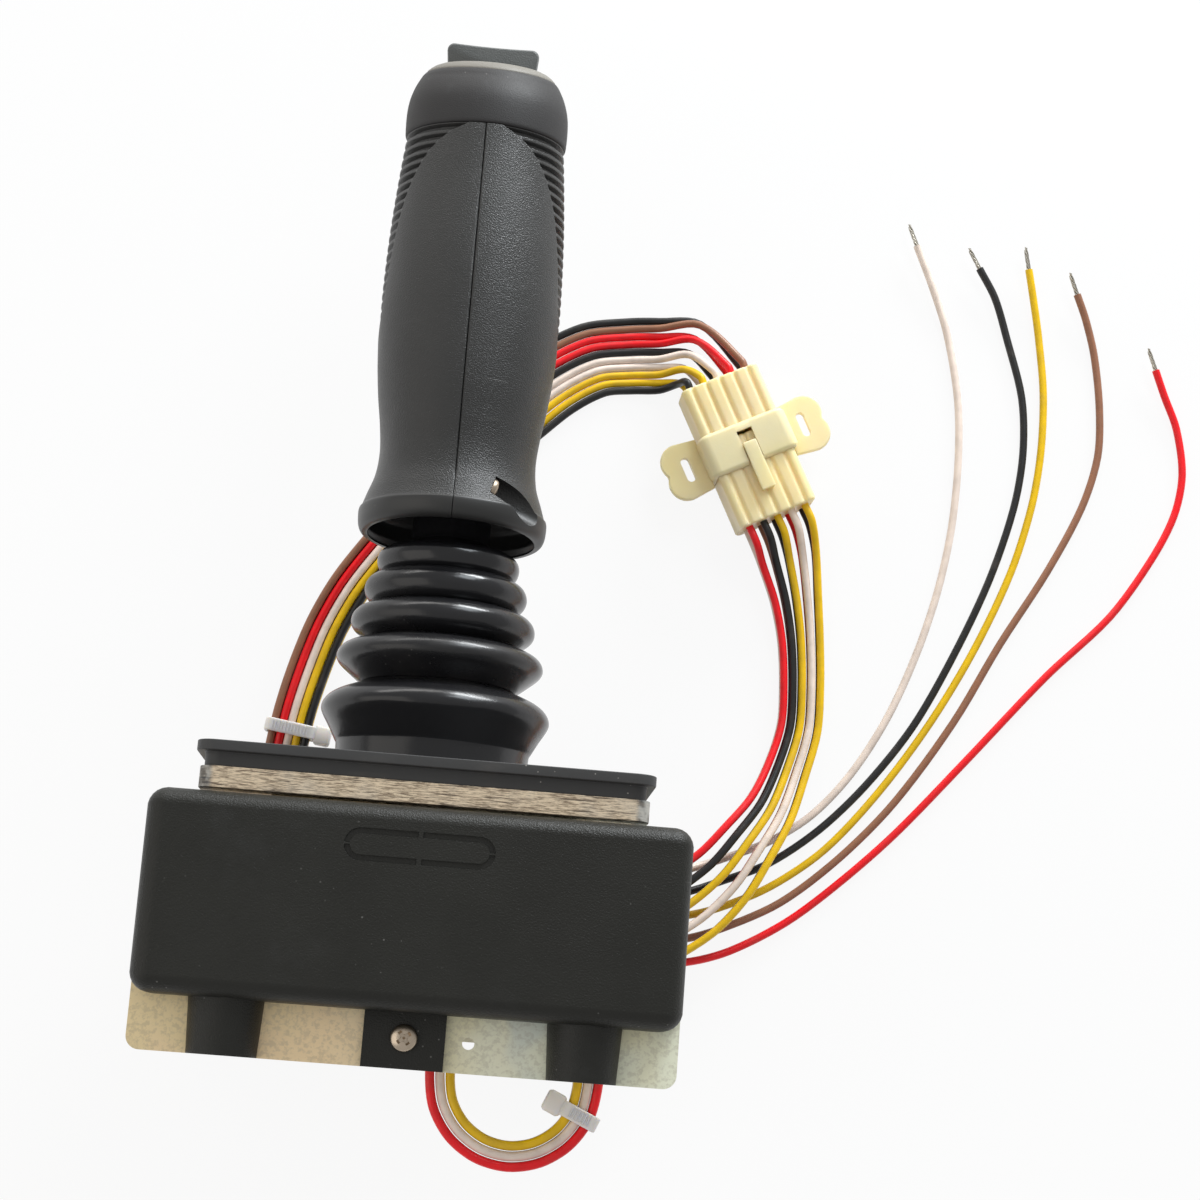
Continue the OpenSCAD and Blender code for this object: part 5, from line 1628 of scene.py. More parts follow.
@dataclass
class Harness:
    """All wires, laid along their routes, with the connector, ties and bare ends."""

    floor: float = -66.0
    wire_d: float = 2.1
    layer: float = 2.25
    side_exit: tuple[float, float] = (61.5, -20.0)
    # A bare end: its length, its twist in radians, its radius and a strand's radius
    tip: float = 7.0
    twist: float = 5.0
    spread: float = 0.44
    strand_r: float = 0.2
    bundle_tie_at: Point = (-38.7, 24.0, -60.825)
    # Degrees that each tie is turned, and the width of its layer of wires
    bundle_tie: tuple[float, float] = (-8.0, 9.2)
    loop_tie: tuple[float, float] = (-24.0, 4.6)
    loop_middle: tuple[float, float] = (25.0, -63.0)
    loop_inner: float = 14.2
    loop_gap: float = 0.2
    loop_z: float = 34.2
    loop_start: float = -22.6
    loop_end: float = -36.0
    connector: Connector = field(default_factory=Connector)
    # Stations of each bundle: x, y, lift off the floor, pitch of the wires, and degrees from one flat layer to two
    upper_way: tuple = (
        (-39, -3.3, 8, 2.3, 90), (-39, 3, 7.5, 2.3, 90), (-40, 11, 5, 2.3, 90), (-39.5, 18, 3, 2.25, 90),
        (-38, 29, 3, 2.25, 90), (-35.5, 41, 1, 2.3, 90), (-32, 53, 0, 2.3, 90), (-27, 64, 0, 2.3, 90),
        (-20, 75, 0, 2.3, 90), (-12, 86, 0, 2.3, 90), (-4, 96, 0, 2.3, 80), (4, 106, 0, 2.3, 50),
        (13, 117, 0, 2.25, 20), (23, 127, 0, 2.2, 0), (34, 134, 0, 2.2, 0), (44, 136, 0, 2.2, 0),
        (52, 136.5, 1, 2.25, 15), (60, 137, 2.6, 3.6, 75),
    )
    lower_way: tuple = (
        (91, 82, 3, 3.8, 90), (94, 71, 1, 3, 90), (96, 60, 0, 2.6, 90), (97, 48, 0, 2.5, 90), (97, 36, 0, 2.5, 90),
        (94, 24, 2, 2.6, 90), (90, 13, 5, 3, 90), (84, 3, 7.5, 3.6, 90), (78, -6, 8.3, 4.2, 90),
        (70, -14, 8.4, 4.8, 90),
    )
    # Stations of each loose lead: x, y and lift off the floor
    leads: tuple = (
        ((61.5, -7, 6), (68, -5, 4), (78, -1, 1), (91, 5, 0), (102, 13, 0), (112, 25, 0), (121, 41, 0), (128, 59, 0),
         (133, 77, 0), (136, 95, 0), (137, 114, 0), (136, 132, 0), (132, 151, 0), (127, 164, 1), (122, 175, 2)),
        ((61.5, -12, 6), (68, -11, 4), (78, -7, 1), (91, -1, 0), (104, 9, 0), (116, 22, 0), (128, 39, 0),
         (138, 59, 0), (147, 81, 0), (153, 102, 0), (155, 118, 0), (154, 134, 0), (149, 151, 0), (145, 162, 1),
         (140, 170, 2)),
        ((61.5, -17, 6), (68, -17, 4), (78, -14, 1), (92, -7, 0), (106, 4, 0), (120, 21, 0), (133, 41, 0),
         (144, 62, 0), (153, 84, 0), (158, 103, 0), (160, 119, 0), (160, 136, 0), (158, 152, 0), (156, 162, 1),
         (154, 171, 2)),
        ((61.5, -23, 6), (69, -23, 4), (80, -19, 1), (95, -11, 0), (110, 2, 0), (124, 18, 0), (139, 41, 0),
         (151, 64, 0), (163, 85, 0), (172, 104, 0), (176, 119, 0), (176, 133, 0), (174, 148, 0), (171, 158, 1),
         (168, 165, 2)),
        ((61.5, -29, 6), (70, -29, 4), (82, -25, 1), (97, -16, 0), (111, -4, 0), (125, 10, 0), (143, 31, 0),
         (164, 56, 0), (181, 74, 0), (192, 91, 0), (198, 104, 0), (200, 116, 0), (198, 129, 0), (194, 138, 1),
         (191, 145, 2)),
    )
    upper_colours: tuple = ("black", "brown", "red", "red", "black", "white", "white", "yellow", "yellow", "black")
    lower_colours: tuple = ("black", "yellow", "red", "white", "black", "yellow", "brown", "black", "white", "red")
    lead_colours: tuple = ("white", "black", "yellow", "brown", "red")
    loop_colours: tuple = ("yellow", "white", "red", "white", "black", "yellow")

    def height(self, lift: float) -> float:
        """Height of a wire's middle that is lifted off the resting surface."""
        return self.floor + self.wire_d / 2 + lift

    def station(self, stop: Sequence[float], before: Sequence[float], after: Sequence[float], wire: int) -> Vector:
        """Where one wire of a bundle passes one of its stations.

        Args:
            stop: The station.
            before: The one before it.
            after: The one after it.
            wire: The wire's number.

        Returns:
            The point in millimetres.
        """
        heading = (Vector(after[:2]) - Vector(before[:2])).normalized()
        fan = math.radians(stop[4])
        off = stop[3] * (self.connector.column(wire) * (1 + math.cos(fan)) + (wire % 2 - 0.5) * math.cos(fan))
        return Vector((
            stop[0] + heading.y * off, stop[1] - heading.x * off,
            self.height(stop[2]) + (wire % 2) * self.layer * math.sin(fan),
        ))

    def upper(self, wire: int) -> list[Vector]:
        """One wire from the top grommet to the receptacle.

        Args:
            wire: The wire's number.

        Returns:
            The points of its route in millimetres.
        """
        way, plug = self.upper_way, self.connector
        ahead = [*way[1:], tuple(plug.point(0, plug.cap_len + 4, 0))]
        return [
            *(self.station(way[i], way[max(i - 1, 0)], ahead[i], wire) for i in range(len(way))),
            plug.mouth(wire, plug.cap_len + 2.5), plug.mouth(wire, plug.cap_len),
        ]

    def lower(self, wire: int) -> list[Vector]:
        """One wire from the side grommet to the plug.

        Args:
            wire: The wire's number.

        Returns:
            The points of its route in millimetres.
        """
        way, plug = self.lower_way, self.connector
        behind = [tuple(plug.point(0, -plug.plug_len - 5, 0)), *way[:-1]]
        ahead = [*way[1:], (*self.side_exit, 0.0)]
        line = [
            plug.mouth(wire, -plug.plug_len), plug.mouth(wire, -plug.plug_len - 5),
            *(self.station(way[i], behind[i], ahead[i], wire) for i in range(len(way))),
            Vector((self.side_exit[0], self.side_exit[1] + plug.column(wire) * 6,
                    self.height(8.5) + (wire % 2) * self.layer)),
        ]
        return line[::-1]

    def lead(self, wire: int) -> list[Vector]:
        """One loose lead from the side grommet to its bare end."""
        return [Vector((x, y, self.height(lift))) for x, y, lift in self.leads[wire]]

    def loop(self, wire: int) -> list[Vector]:
        """One wire of the loop under the bracket.

        Args:
            wire: The wire's number.

        Returns:
            The points of its route in millimetres.
        """
        radius = self.loop_inner + (wire % 3) * (self.wire_d + self.loop_gap)
        height = self.loop_z - (wire // 3) * self.layer
        x, y = self.loop_middle
        line = [Vector((x - radius, at, height)) for at in (self.loop_start, -32, -42, -53)]
        for i in range(9):
            a = math.pi * (1 + i / 8)
            line.append(Vector((x + radius * math.cos(a), y + radius * math.sin(a), height)))
        return line + [Vector((x + radius, at, height)) for at in (-53, -44, self.loop_end)]

    def wire(self, name: str, route: Sequence[Vector], material: bpy.types.Material, weave: Weave,
             far_end: str, stands_for: str, pieces: Sequence[bpy.types.Object] = ()) -> None:
        """Args:
            name: The piece's name.
            route: The points that it follows, in millimetres.
            material: Its insulation.
            weave: The tube's tree.
            far_end: What it ends in.
            stands_for: The CAD node that it replaces.
            pieces: What is on it.
        """
        line = [p * MM for p in along_curve(route, 6)]
        mesh = weave.grow(curve_of([line]), material, Radius=self.wire_d * MM / 2)
        turn_outwards(mesh)
        piece = finished(mesh, name, material, "base", [stands_for], 50)
        length = sum((b - a).length for a, b in zip(line, line[1:]))
        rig.cord(piece, exit=line[0], length=length, diameter=self.wire_d * MM, far_end=far_end,
                stiffness="limp", lay="loose", path=[tuple(p) for p in line], with_pieces=pieces)

    def bare_end(self, name: str, route: Sequence[Vector], material: bpy.types.Material,
                 weave: Weave) -> bpy.types.Object:
        """Twists the stripped strands that stand out of a lead.

        Args:
            name: The piece's name.
            route: The lead's points, in millimetres.
            material: The strands' finish.
            weave: The tube's tree.

        Returns:
            The strands' piece.
        """
        end, ahead = route[-1], (route[-1] - route[-2]).normalized()
        side = ahead.cross(Vector((0, 0, 1))).normalized()
        up = side.cross(ahead)
        ring, steps = 6, 14
        lines = []
        for k in range(ring + 1):
            out = self.spread if k < ring else 0.0
            reach = self.tip * (0.9 + 0.1 * math.sin(k * 2.4))
            line = []
            for t in (i / steps for i in range(steps + 1)):
                a, r = TURN * k / ring + t * self.twist, out * (1 - 0.2 * t)
                line.append((end + ahead * (reach * t - 0.5) + (side * math.cos(a) + up * math.sin(a)) * r) * MM)
            lines.append(line)
        mesh = weave.grow(curve_of(lines), material, Radius=self.strand_r * MM)
        turn_outwards(mesh)
        return finished(mesh, name, material, "base", ["bare_ends"], 60)

    def build(self, looks: Finishes) -> None:
        """Lays all wires and what is on them.

        Args:
            looks: The stick's finishes.
        """
        weave = tube_weave()
        receptacle, plug = self.connector.build(looks)
        for name, way, colours, housing in (
            ("upper", self.upper, self.upper_colours, receptacle), ("lower", self.lower, self.lower_colours, plug),
        ):
            for k, tone in enumerate(colours):
                self.wire(f"{name}_wire_{k}", way(k), looks.wire[tone], weave, "connector", f"{name}_{tone}", [housing])
        for k, tone in enumerate(self.lead_colours):
            strands = self.bare_end(f"bare_end_{k}", self.lead(k), looks.tinned, weave)
            self.wire(f"lead_{k}", self.lead(k), looks.wire[tone], weave, "bare", "leads", [strands])
        for k, tone in enumerate(self.loop_colours):
            self.wire(f"loop_wire_{k}", self.loop(k), looks.wire[tone], weave, "object", "loop_wires")
        forms = scatter_weave()
        Tie("bundle_tie", self.bundle_tie_at, *self.bundle_tie, Side.RIGHT).build(looks, forms)
        a, r = math.radians(self.loop_tie[0]), self.loop_inner + self.wire_d + self.loop_gap
        x, y = self.loop_middle
        spot = (x + r * math.cos(a), y + r * math.sin(a), self.loop_z - self.layer / 2)
        Tie("loop_tie", spot, *self.loop_tie, Side.LEFT).build(looks, forms)
        dress(looks.nylon, "loop_header")
        colours = (self.upper_colours, self.lower_colours, self.lead_colours, self.loop_colours)
        log.info("harness: %d wires", sum(len(run) for run in colours))


# ------------------------------------------------------------------ panel and boot


@dataclass
class Panel:
    """Mounting plate and its gasket."""

    plate_edge: float = 0.3
    gasket_edge: float = 0.4

    def build(self, looks: Finishes) -> None:
        """Dresses both and rounds their edges.

        Args:
            looks: The stick's finishes.
        """
        softened("mounting_plate", looks.plate, self.plate_edge)
        softened("panel_gasket", looks.gasket, self.gasket_edge)
        log.info("panel: plate and gasket")


@dataclass
class Boot:
    """Rubber bellows: a foot, five folds and a cuff."""

    wall: float = 1.2
    sides: int = 128
    split: float = 28.5
    # Heights between which its two halves bend, and between which its folds lie
    bends: tuple[float, float] = (4.0, 66.0)
    folds: tuple[float, float] = (20.0, 60.0)
    flange: tuple = ((22.1, 0.0), (28.3, 0.0), (28.3, 1.2))
    # Radius and height of the outer line
    profile: tuple = (
        (23.3, 1.4), (23.3, 7.0), (23.32, 13.4), (23.9, 14.6), (25.5, 17.6), (27.1, 20.3), (27.6, 21.7), (27.3, 23.2),
        (26.2, 24.7), (24.3, 26.0), (21.8, 27.1), (19.6, 27.9), (18.7, 28.5), (19.6, 29.1), (22.0, 31.0), (24.4, 33.1),
        (25.1, 34.5), (24.8, 36.0), (23.7, 37.3), (21.8, 38.3), (19.6, 39.0), (18.4, 39.5), (19.4, 40.1), (21.2, 41.2),
        (22.2, 42.5), (22.4, 43.9), (22.0, 45.3), (20.9, 46.6), (19.2, 47.5), (17.5, 48.1), (18.4, 48.8), (19.4, 50.1),
        (19.85, 51.6), (19.6, 53.1), (18.8, 54.4), (17.4, 55.4), (15.9, 56.1), (16.7, 56.8), (17.25, 58.0),
        (17.4, 59.3), (17.0, 60.7), (15.9, 61.8), (14.0, 62.7), (11.6, 63.4), (10.0, 64.6), (9.6, 66.5), (9.6, 70.0),
    )

    def line(self) -> list[tuple[float, float]]:
        """The outer line, made smooth between its points except in the valleys.

        Returns:
            Pairs of radius and height in millimetres.
        """
        points = [Vector((r, z, 0)) for r, z in self.profile]
        last, (low, high) = len(points) - 1, self.folds
        valleys = [i for i in range(1, last)
                   if low < points[i].y < high and points[i].x < min(points[i - 1].x, points[i + 1].x)]
        line: list[tuple[float, float]] = []
        for a, b in zip([0, *valleys], [*valleys, last]):
            run = along_curve(points[a:b + 1], 4)
            line.extend((p.x, p.y) for p in (run[:-1] if b != last else run))
        return line

    def build(self, looks: Finishes) -> None:
        """Makes the lower and upper halves, which bend across the two tilts.

        Args:
            looks: The stick's finishes.
        """
        line, (foot, cuff) = self.line(), self.bends
        middle = min(range(len(line)), key=lambda i: abs(line[i][1] - self.split))
        for name, run, pair, span in (
            ("boot_lower", [*self.flange, *line[:middle + 1]], ("base", "fore_aft_yoke"), (foot, self.split)),
            ("boot_upper", line[middle:], ("fore_aft_yoke", "stick"), (self.split, cuff)),
        ):
            # The flange's low outer corner has no inner copy
            back = [(r - self.wall, z) for r, z in reversed(run) if z > 0.5 or r < 24]
            mesh = Form().lathe([*run, *back], lay, self.sides, closed=True).mesh(name)
            piece = finish_on(mesh, name, looks.boot, 55)
            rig.blend(piece, *pair, start=lay(0, 0, span[0]), end=lay(0, 0, span[1]))
            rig.replaces(piece, "boot")
        log.info("boot: two halves")


# ------------------------------------------------------------------ handle


def rib_weave() -> Weave:
    """Sinks a skin along its stored inward arrows: a shelf with grooves at one pitch.

    Returns:
        The tree.
    """
    weave = Weave("rib hold", {"Pitch": 2.5, "Groove": 1.2, "Depth": 1.0, "Sink": 0.2})
    height = weave.node("GeometryNodeInputNamedAttribute", {"data_type": "FLOAT"}, {"Name": "height"}).outputs[0]
    half = weave.math("MULTIPLY", weave.size("Pitch"), 0.5)
    away = weave.math("PINGPONG", height, half)
    ramp = weave.node(
        "ShaderNodeMapRange", {"interpolation_type": "SMOOTHSTEP"},
        {"Value": away, "From Min": weave.math("MULTIPLY", weave.size("Groove"), 0.2),
         "From Max": weave.math("MULTIPLY", weave.size("Groove"), 0.58), "To Min": 1.0, "To Max": 0.0},
    )
    dip = weave.math("ADD", weave.math("MULTIPLY", ramp.outputs[0], weave.size("Depth")), weave.size("Sink"))
    reach = weave.node(
        "ShaderNodeVectorMath", {"operation": "SCALE"},
        {0: weave.arrow("inward"), "Scale": weave.math("MULTIPLY", dip, MM)},
    )
    moved = weave.node(
        "GeometryNodeSetPosition", None, {"Geometry": weave.input.outputs[0], "Offset": reach.outputs[0]},
    )
    weave.close(moved.outputs[0])
    return weave


@dataclass
class Grip:
    """Handle: two shells that meet in front and behind, with a ribbed hold."""

    bottom: float = 64.8
    top: float = 168.0
    wall: float = 2.4
    lip: float = 1.0
    # How far the joint with the cap leans, and how far below it the wall starts to follow
    top_drop: float = 1.6
    top_reach: float = 24.0
    # How far the skirt's rim rises in front, and how far above it the wall follows
    rim_rise: float = 1.9
    rim_reach: float = 7.5
    # Distances between rows at the rim and over the plain wall
    rim_step: float = 0.3
    wall_step: float = 0.95
    # Columns over the front panel and over the hold, and those beside the seams in degrees
    panel_columns: int = 40
    hold_columns: int = 52
    near_seam: tuple[float, ...] = (0.25, 0.5, 0.95, 2.0)
    rib_from: float = 107.0
    rib_pitch: float = 2.5
    rib_groove: float = 1.55
    rib_depth: float = 1.35
    rib_sink: float = 0.3
    rib_rows: int = 12
    # Degrees over which the skin steps down into the hold
    step: float = 2.4
    # Half the gap between the shells, the notch over it, the height that it deepens at, and where its slope lies
    seam: float = 0.045
    seam_depth: float = 0.24
    seam_low: float = 77.0
    seam_half: tuple[float, float] = (0.05, 0.32)
    # The oblique screw's seat, its axis in degrees from upright and round, and the radii round it
    screw_at: Point = (8.4, -17.5, 75.3)
    screw_turn: tuple[float, float] = (110.0, 14.0)
    bore_r: float = 3.4
    boss_r: float = 5.0
    pilot_r: float = 1.3
    # Height, half the width, depth in front and depth behind
    sections: tuple = (
        (64.8, 21.6, 21.8, 20.3), (65.1, 22.1, 22.4, 20.7), (65.8, 22.6, 23.0, 21.1), (67, 22.95, 23.45, 21.4),
        (68.6, 23.1, 23.7, 21.5), (70.4, 23.15, 23.75, 21.5), (71.4, 23.0, 23.6, 21.4), (71.75, 22.65, 23.2, 21.05),
        (73, 22.2, 22.6, 20.7), (75, 21.55, 21.8, 20.1), (80, 19.9, 20.2, 19), (86, 19.3, 19.7, 18.4),
        (93, 19.9, 20.2, 18.4), (101, 21.1, 21, 18.6), (110, 22, 21.6, 18.8), (122, 22.6, 22, 19),
        (134, 22.5, 21.8, 19), (146, 22, 21.2, 18.9), (156, 21.3, 20.6, 18.8), (163, 20.7, 20.3, 19.2),
        (168, 20.2, 20.2, 19.6),
    )
    # Height, and degrees from the front seam to the edge of the hold
    panel_edge: tuple = (
        (64.8, 80.0), (98, 80.0), (103, 92), (107, 101), (112, 91), (117, 80.5), (123, 72.5), (131, 68), (138, 64.5),
        (145, 60), (152, 53.5), (157, 46.5), (161, 39), (164.2, 30), (166.5, 20), (168, 11),
    )

    def skew(self, y: float, z: float) -> float:
        """How far a point is lifted where the joints with cap and boot lean.

        Args:
            y: How far the point lies behind the stem's axis.
            z: Its height.

        Returns:
            The lift in millimetres.
        """
        near_top = smoothstep(self.top - self.top_reach, self.top, z)
        near_rim = 1 - smoothstep(self.bottom, self.bottom + self.rim_reach, z)
        return self.top_drop * near_top * y / 20.2 + self.rim_rise * near_rim * (1 - y / 21) / 2

    def heights(self) -> list[float]:
        """Heights of the grid's rows: close at the skirt's rim and over the ribs.

        Returns:
            The heights in millimetres.
        """
        rows = [self.bottom + self.rim_step * i for i in range(31)]
        while rows[-1] < self.rib_from - self.rib_pitch:
            rows.append(rows[-1] + self.wall_step)
        start = self.rib_from - self.rib_pitch / 2
        count = round((self.top - start) / (self.rib_pitch / self.rib_rows))
        fine = [start + (self.top - start) * i / count for i in range(count + 1)]
        return [z for z in rows if z < start - self.rim_step] + fine

    def columns(self, z: float) -> list[tuple[float, float]]:
        """Angles of a row's points from the front seam, and how far each lies in the hold.

        Args:
            z: The row's height.

        Returns:
            Pairs of degrees and a share from 0 to 1.
        """
        edge, near = table_at(self.panel_edge, z, 1), self.near_seam
        first, rest, last = near[-1], edge + self.step, 180 - near[-1] - 0.2
        n, m = self.panel_columns, self.hold_columns
        return [
            *((a, 0.0) for a in near),
            *((first + (edge - first) * k / n, 0.0) for k in range(1, n + 1)),
            *((edge + self.step * t, smoothstep(0, 1, t)) for t in (0.2, 0.4, 0.6, 0.8, 1.0)),
            *((rest + (last - rest) * k / m, 1.0) for k in range(1, m + 1)),
            *((180 - a, 1.0) for a in reversed(near[:-1])),
        ]

    def skin(self, side: Side) -> bpy.types.Mesh:
        """One smooth shell as a closed mesh that carries its height and inward arrows.

        Args:
            side: Which shell.

        Returns:
            Its mesh.
        """
        rows, heights, arrows, inner = [], [], [], 24
        for z in self.heights():
            wide, front, back = (table_at(self.sections, z, c) for c in (1, 2, 3))
            held = smoothstep(self.rib_from - self.rib_groove, self.rib_from - self.rib_groove / 2, z)
            parting = smoothstep(self.seam_low - 1.5, self.seam_low + 1.5, z) * 0.85 + 0.15
            wall = self.lip + (self.wall - self.lip) * smoothstep(self.bottom, self.bottom + 2.4, z)
            row = []
            for angle, share in self.columns(z):
                a = math.radians(angle)
                depth = front if angle < 90 else back
                x, y = wide * math.sin(a), -depth * math.cos(a)
                notch = self.seam_depth * parting * (1 - smoothstep(*self.seam_half, x))
                row.append(lay(side.value * max(x, self.seam), y * (1 - notch / depth), z + self.skew(y, z)))
                arrows.append(lay(-side.value * math.sin(a), math.cos(a), 0) / MM * (share * held))
            for k in range(inner, -1, -1):
                a = math.pi * k / inner
                depth = (front if 2 * k < inner else back) - wall
                y = -depth * math.cos(a)
                row.append(lay(side.value * max((wide - wall) * math.sin(a), self.seam), y, z + self.skew(y, z)))
                arrows.append(Vector((0, 0, 0)))
            heights.extend([z - self.rib_from] * len(row))
            rows.append(row)
        mesh = bpy.data.meshes.new("shell")
        form = Form().sheet(rows)
        last = (len(rows) - 1) * len(rows[0])
        form.faces += [tuple(range(len(rows[0]))), tuple(range(last, last + len(rows[0])))]
        mesh.from_pydata([tuple(p) for p in form.points], [], form.faces)
        mesh.attributes.new("height", "FLOAT", "POINT").data.foreach_set("value", heights)
        store_arrows(mesh, "inward", arrows)
        return mesh

    def screw_axis(self) -> Vector:
        """Which way the oblique screw faces, in the standing frame."""
        down, turn = (math.radians(t) for t in self.screw_turn)
        return Vector((math.sin(down) * math.cos(turn), math.sin(down) * math.sin(turn), math.cos(down)))

    def bore(self, radius: float, start: float, end: float, sides: int = 48) -> bpy.types.Mesh:
        """A round bar along the oblique screw's axis.

        Args:
            radius: Its radius.
            start: Where it starts, outwards from the seat.
            end: Where it ends.
            sides: Facets round it.

        Returns:
            Its mesh.
        """
        ahead = self.screw_axis()
        side = ahead.cross(Vector((0, 0, 1))).normalized()
        up = side.cross(ahead)
        seat = Vector(self.screw_at)
        rows = [
            [lay(*(seat + ahead * v + (side * math.cos(t) + up * math.sin(t)) * radius))
             for t in angles(sides)]
            for v in (start, end)
        ]
        return Form().solid(rows).mesh("bore")

    def build(self, looks: Finishes) -> None:
        """Makes both shells and dresses what they enclose.

        Args:
            looks: The stick's finishes.
        """
        weave = rib_weave()
        for side, node in ((Side.LEFT, "handle_left"), (Side.RIGHT, "handle_right")):
            mesh = weave.grow(stand("shell", self.skin(side)), looks.handle, Pitch=self.rib_pitch,
                              Groove=self.rib_groove, Depth=self.rib_depth, Sink=self.rib_sink)
            turn_outwards(mesh)
            if side is Side.RIGHT:
                boss = carved(self.bore(self.boss_r, -1.6, 12.4), self.kernel(), "INTERSECT")
                mesh = carved(mesh, boss, "UNION")
                mesh = carved(mesh, self.bore(self.bore_r, 0.0, 20.0))
                mesh = carved(mesh, self.bore(self.pilot_r, -3.0, 1.0, 24))
            finished(mesh, node + "_piece", looks.handle, "stick", [node], 34)
        dress(looks.dark, "grip_core")
        dress(looks.steel, "lever", "lever_pin")
        screw = PanScrew(2.6, 5.4, 2.0, 7.0)
        crown = Vector(self.screw_at) + self.screw_axis() * screw.height
        spot = (tuple(lay(*crown) / MM), tuple(lay(*self.screw_axis()) / MM))
        screw.set_in("skirt_screw", [spot], looks.screw, scatter_weave(), "stick")
        log.info("grip: two shells")

    def kernel(self) -> bpy.types.Mesh:
        """The skirt's right half as a solid a little under its skin.

        Returns:
            Its mesh.
        """
        rows = []
        for z in (66.5, 68, 70, 72, 74, 77, 80, 84):
            wide, front, back = (table_at(self.sections, z, c) - self.wall / 2 for c in (1, 2, 3))
            rows.append([
                lay(wide * math.sin(a), -(front if a < math.pi / 2 else back) * math.cos(a), z)
                for a in (math.pi * k / 32 for k in range(33))
            ])
        return Form().solid(rows).mesh("kernel")


@dataclass
class SwitchCap:
    """Cap with the thumb rocker in its bezel."""

    lean: float = 12.0
    top: float = 186.4
    sides: int = 112
    # Width, depth and corner of the cap's slot
    slot: Point = (24.4, 13.4, 1.0)
    # Height on the axis, radius, share of the lean
    rings: tuple = (
        (168.1, 19.5, 0.37), (168.25, 19.95, 0.37), (168.6, 20.25, 0.37), (169.3, 20.36, 0.37), (171.5, 20.45, 0.4),
        (174.0, 20.45, 0.46), (176.3, 20.3, 0.55), (178.4, 19.95, 0.66), (180.4, 19.4, 0.78), (182.2, 18.75, 0.9),
        (183.8, 18.0, 1.0), (184.8, 17.45, 1.0), (185.5, 16.9, 1.0), (185.7, 16.6, 1.0), (185.75, 16.2, 1.0),
    )
    # Height over the cap's face, radius
    ring: tuple = (
        (-1.6, 16.0), (-0.9, 16.55), (-0.6, 16.6), (-0.1, 16.3), (0.55, 15.6), (1.1, 14.8), (1.45, 14.0), (1.6, 13.2),
    )
    # Room round the rocker in the ring, and the radius of its corners
    ring_room: tuple[float, float] = (1.1, 1.4)
    rocker: Point = (23.4, 10.4, 7.6)
    rocker_round: float = 1.7
    rocker_foot: tuple[float, float] = (0.7, -1.4)
    dish: tuple[float, float] = (0.86, 0.22)

    def shell(self) -> bpy.types.Mesh:
        """The cap's smooth body with the switch's slot.

        Returns:
            Its mesh.
        """
        rows = []
        for ring in along_curve([Vector(r) for r in self.rings], 4):
            place = leaned(self.lean, ring.x, ring.z)
            rows.append([place(ring.y * math.sin(t), -ring.y * math.cos(t), 0) for t in angles(self.sides)])
        return carved(Form().solid(rows).mesh("cap"), self.block(*self.slot, -40.0, 5.0))

    def block(self, wide: float, deep: float, radius: float, low: float, high: float) -> bpy.types.Mesh:
        """A bar with round corners that stands on the leaning face.

        Args:
            wide: Its width.
            deep: Its depth.
            radius: Radius of its corners.
            low: Where it starts, over the cap's face.
            high: Where it ends.

        Returns:
            Its mesh.
        """
        place = leaned(self.lean, self.top)
        outline = round_corners(wide / 2 - radius, deep / 2 - radius, radius, 6)
        return Form().solid([[place(x, y, z) for x, y, _ in outline] for z in (low, high)]).mesh("block")

    def frame(self) -> bpy.types.Mesh:
        """The sloping ring round the rocker.

        Returns:
            Its mesh.
        """
        place = leaned(self.lean, self.top)
        profile = [(r, h) for h, r in self.ring]
        (_, low), (_, high) = profile[0], profile[-1]
        mesh = Form().lathe([(0.05, low), *profile, (0.05, high)], place, self.sides).mesh("ring")
        wide, deep = (size + self.ring_room[0] for size in self.rocker[:2])
        return carved(mesh, self.block(wide, deep, self.ring_room[1], -4.0, 4.0))

    def thumb(self) -> bpy.types.Mesh:
        """The rocker: a block with well rounded ends and a faint hollow.

        Returns:
            Its mesh.
        """
        place = leaned(self.lean, self.top)
        wide, deep, high = self.rocker[0] / 2, self.rocker[1] / 2, self.rocker[2]
        inset, foot = self.rocker_foot
        r = self.rocker_round
        corner = [(r * math.cos(a), r * math.sin(a)) for a in (math.pi / 16 * i for i in range(9))]
        rows = []
        for a in (math.pi / 2 * k / 12 for k in range(-12, 13)):
            pull = r * 0.55 * (1 - math.cos(a)) + 0.02
            half, top = wide - pull * 0.5, high - pull
            dish = [
                (half * share * self.dish[0], top - self.dish[1] * (1 - share**2))
                for share in (1 - i / 6 for i in range(1, 6))
            ]
            row = [
                (-half + inset, foot), (half - inset, foot), *((half - r + u, top - r + v) for u, v in corner),
                *dish, *((-x, z) for x, z in reversed(dish)), *((-half + r - v, top - r + u) for u, v in corner),
            ]
            rows.append([place(x, deep * math.sin(a), z) for x, z in row])
        return Form().solid(rows).mesh("thumb")

    def build(self, looks: Finishes) -> None:
        """Makes the cap and dresses its switch.

        Args:
            looks: The stick's finishes.
        """
        finished(self.shell(), "switch_cap_piece", looks.cap, "stick", ["switch_cap"], 50)
        finished(self.frame(), "bezel_piece", looks.bezel, "stick", ["bezel"], 50)
        finished(self.thumb(), "rocker_piece", looks.rocker, "rocker", ["rocker"], 60)
        dress(looks.dark, "switch_body")
        dress(looks.steel, "rocker_pin")
        log.info("switch cap: cap, bezel and rocker")


# ------------------------------------------------------------------ chassis and gimbal


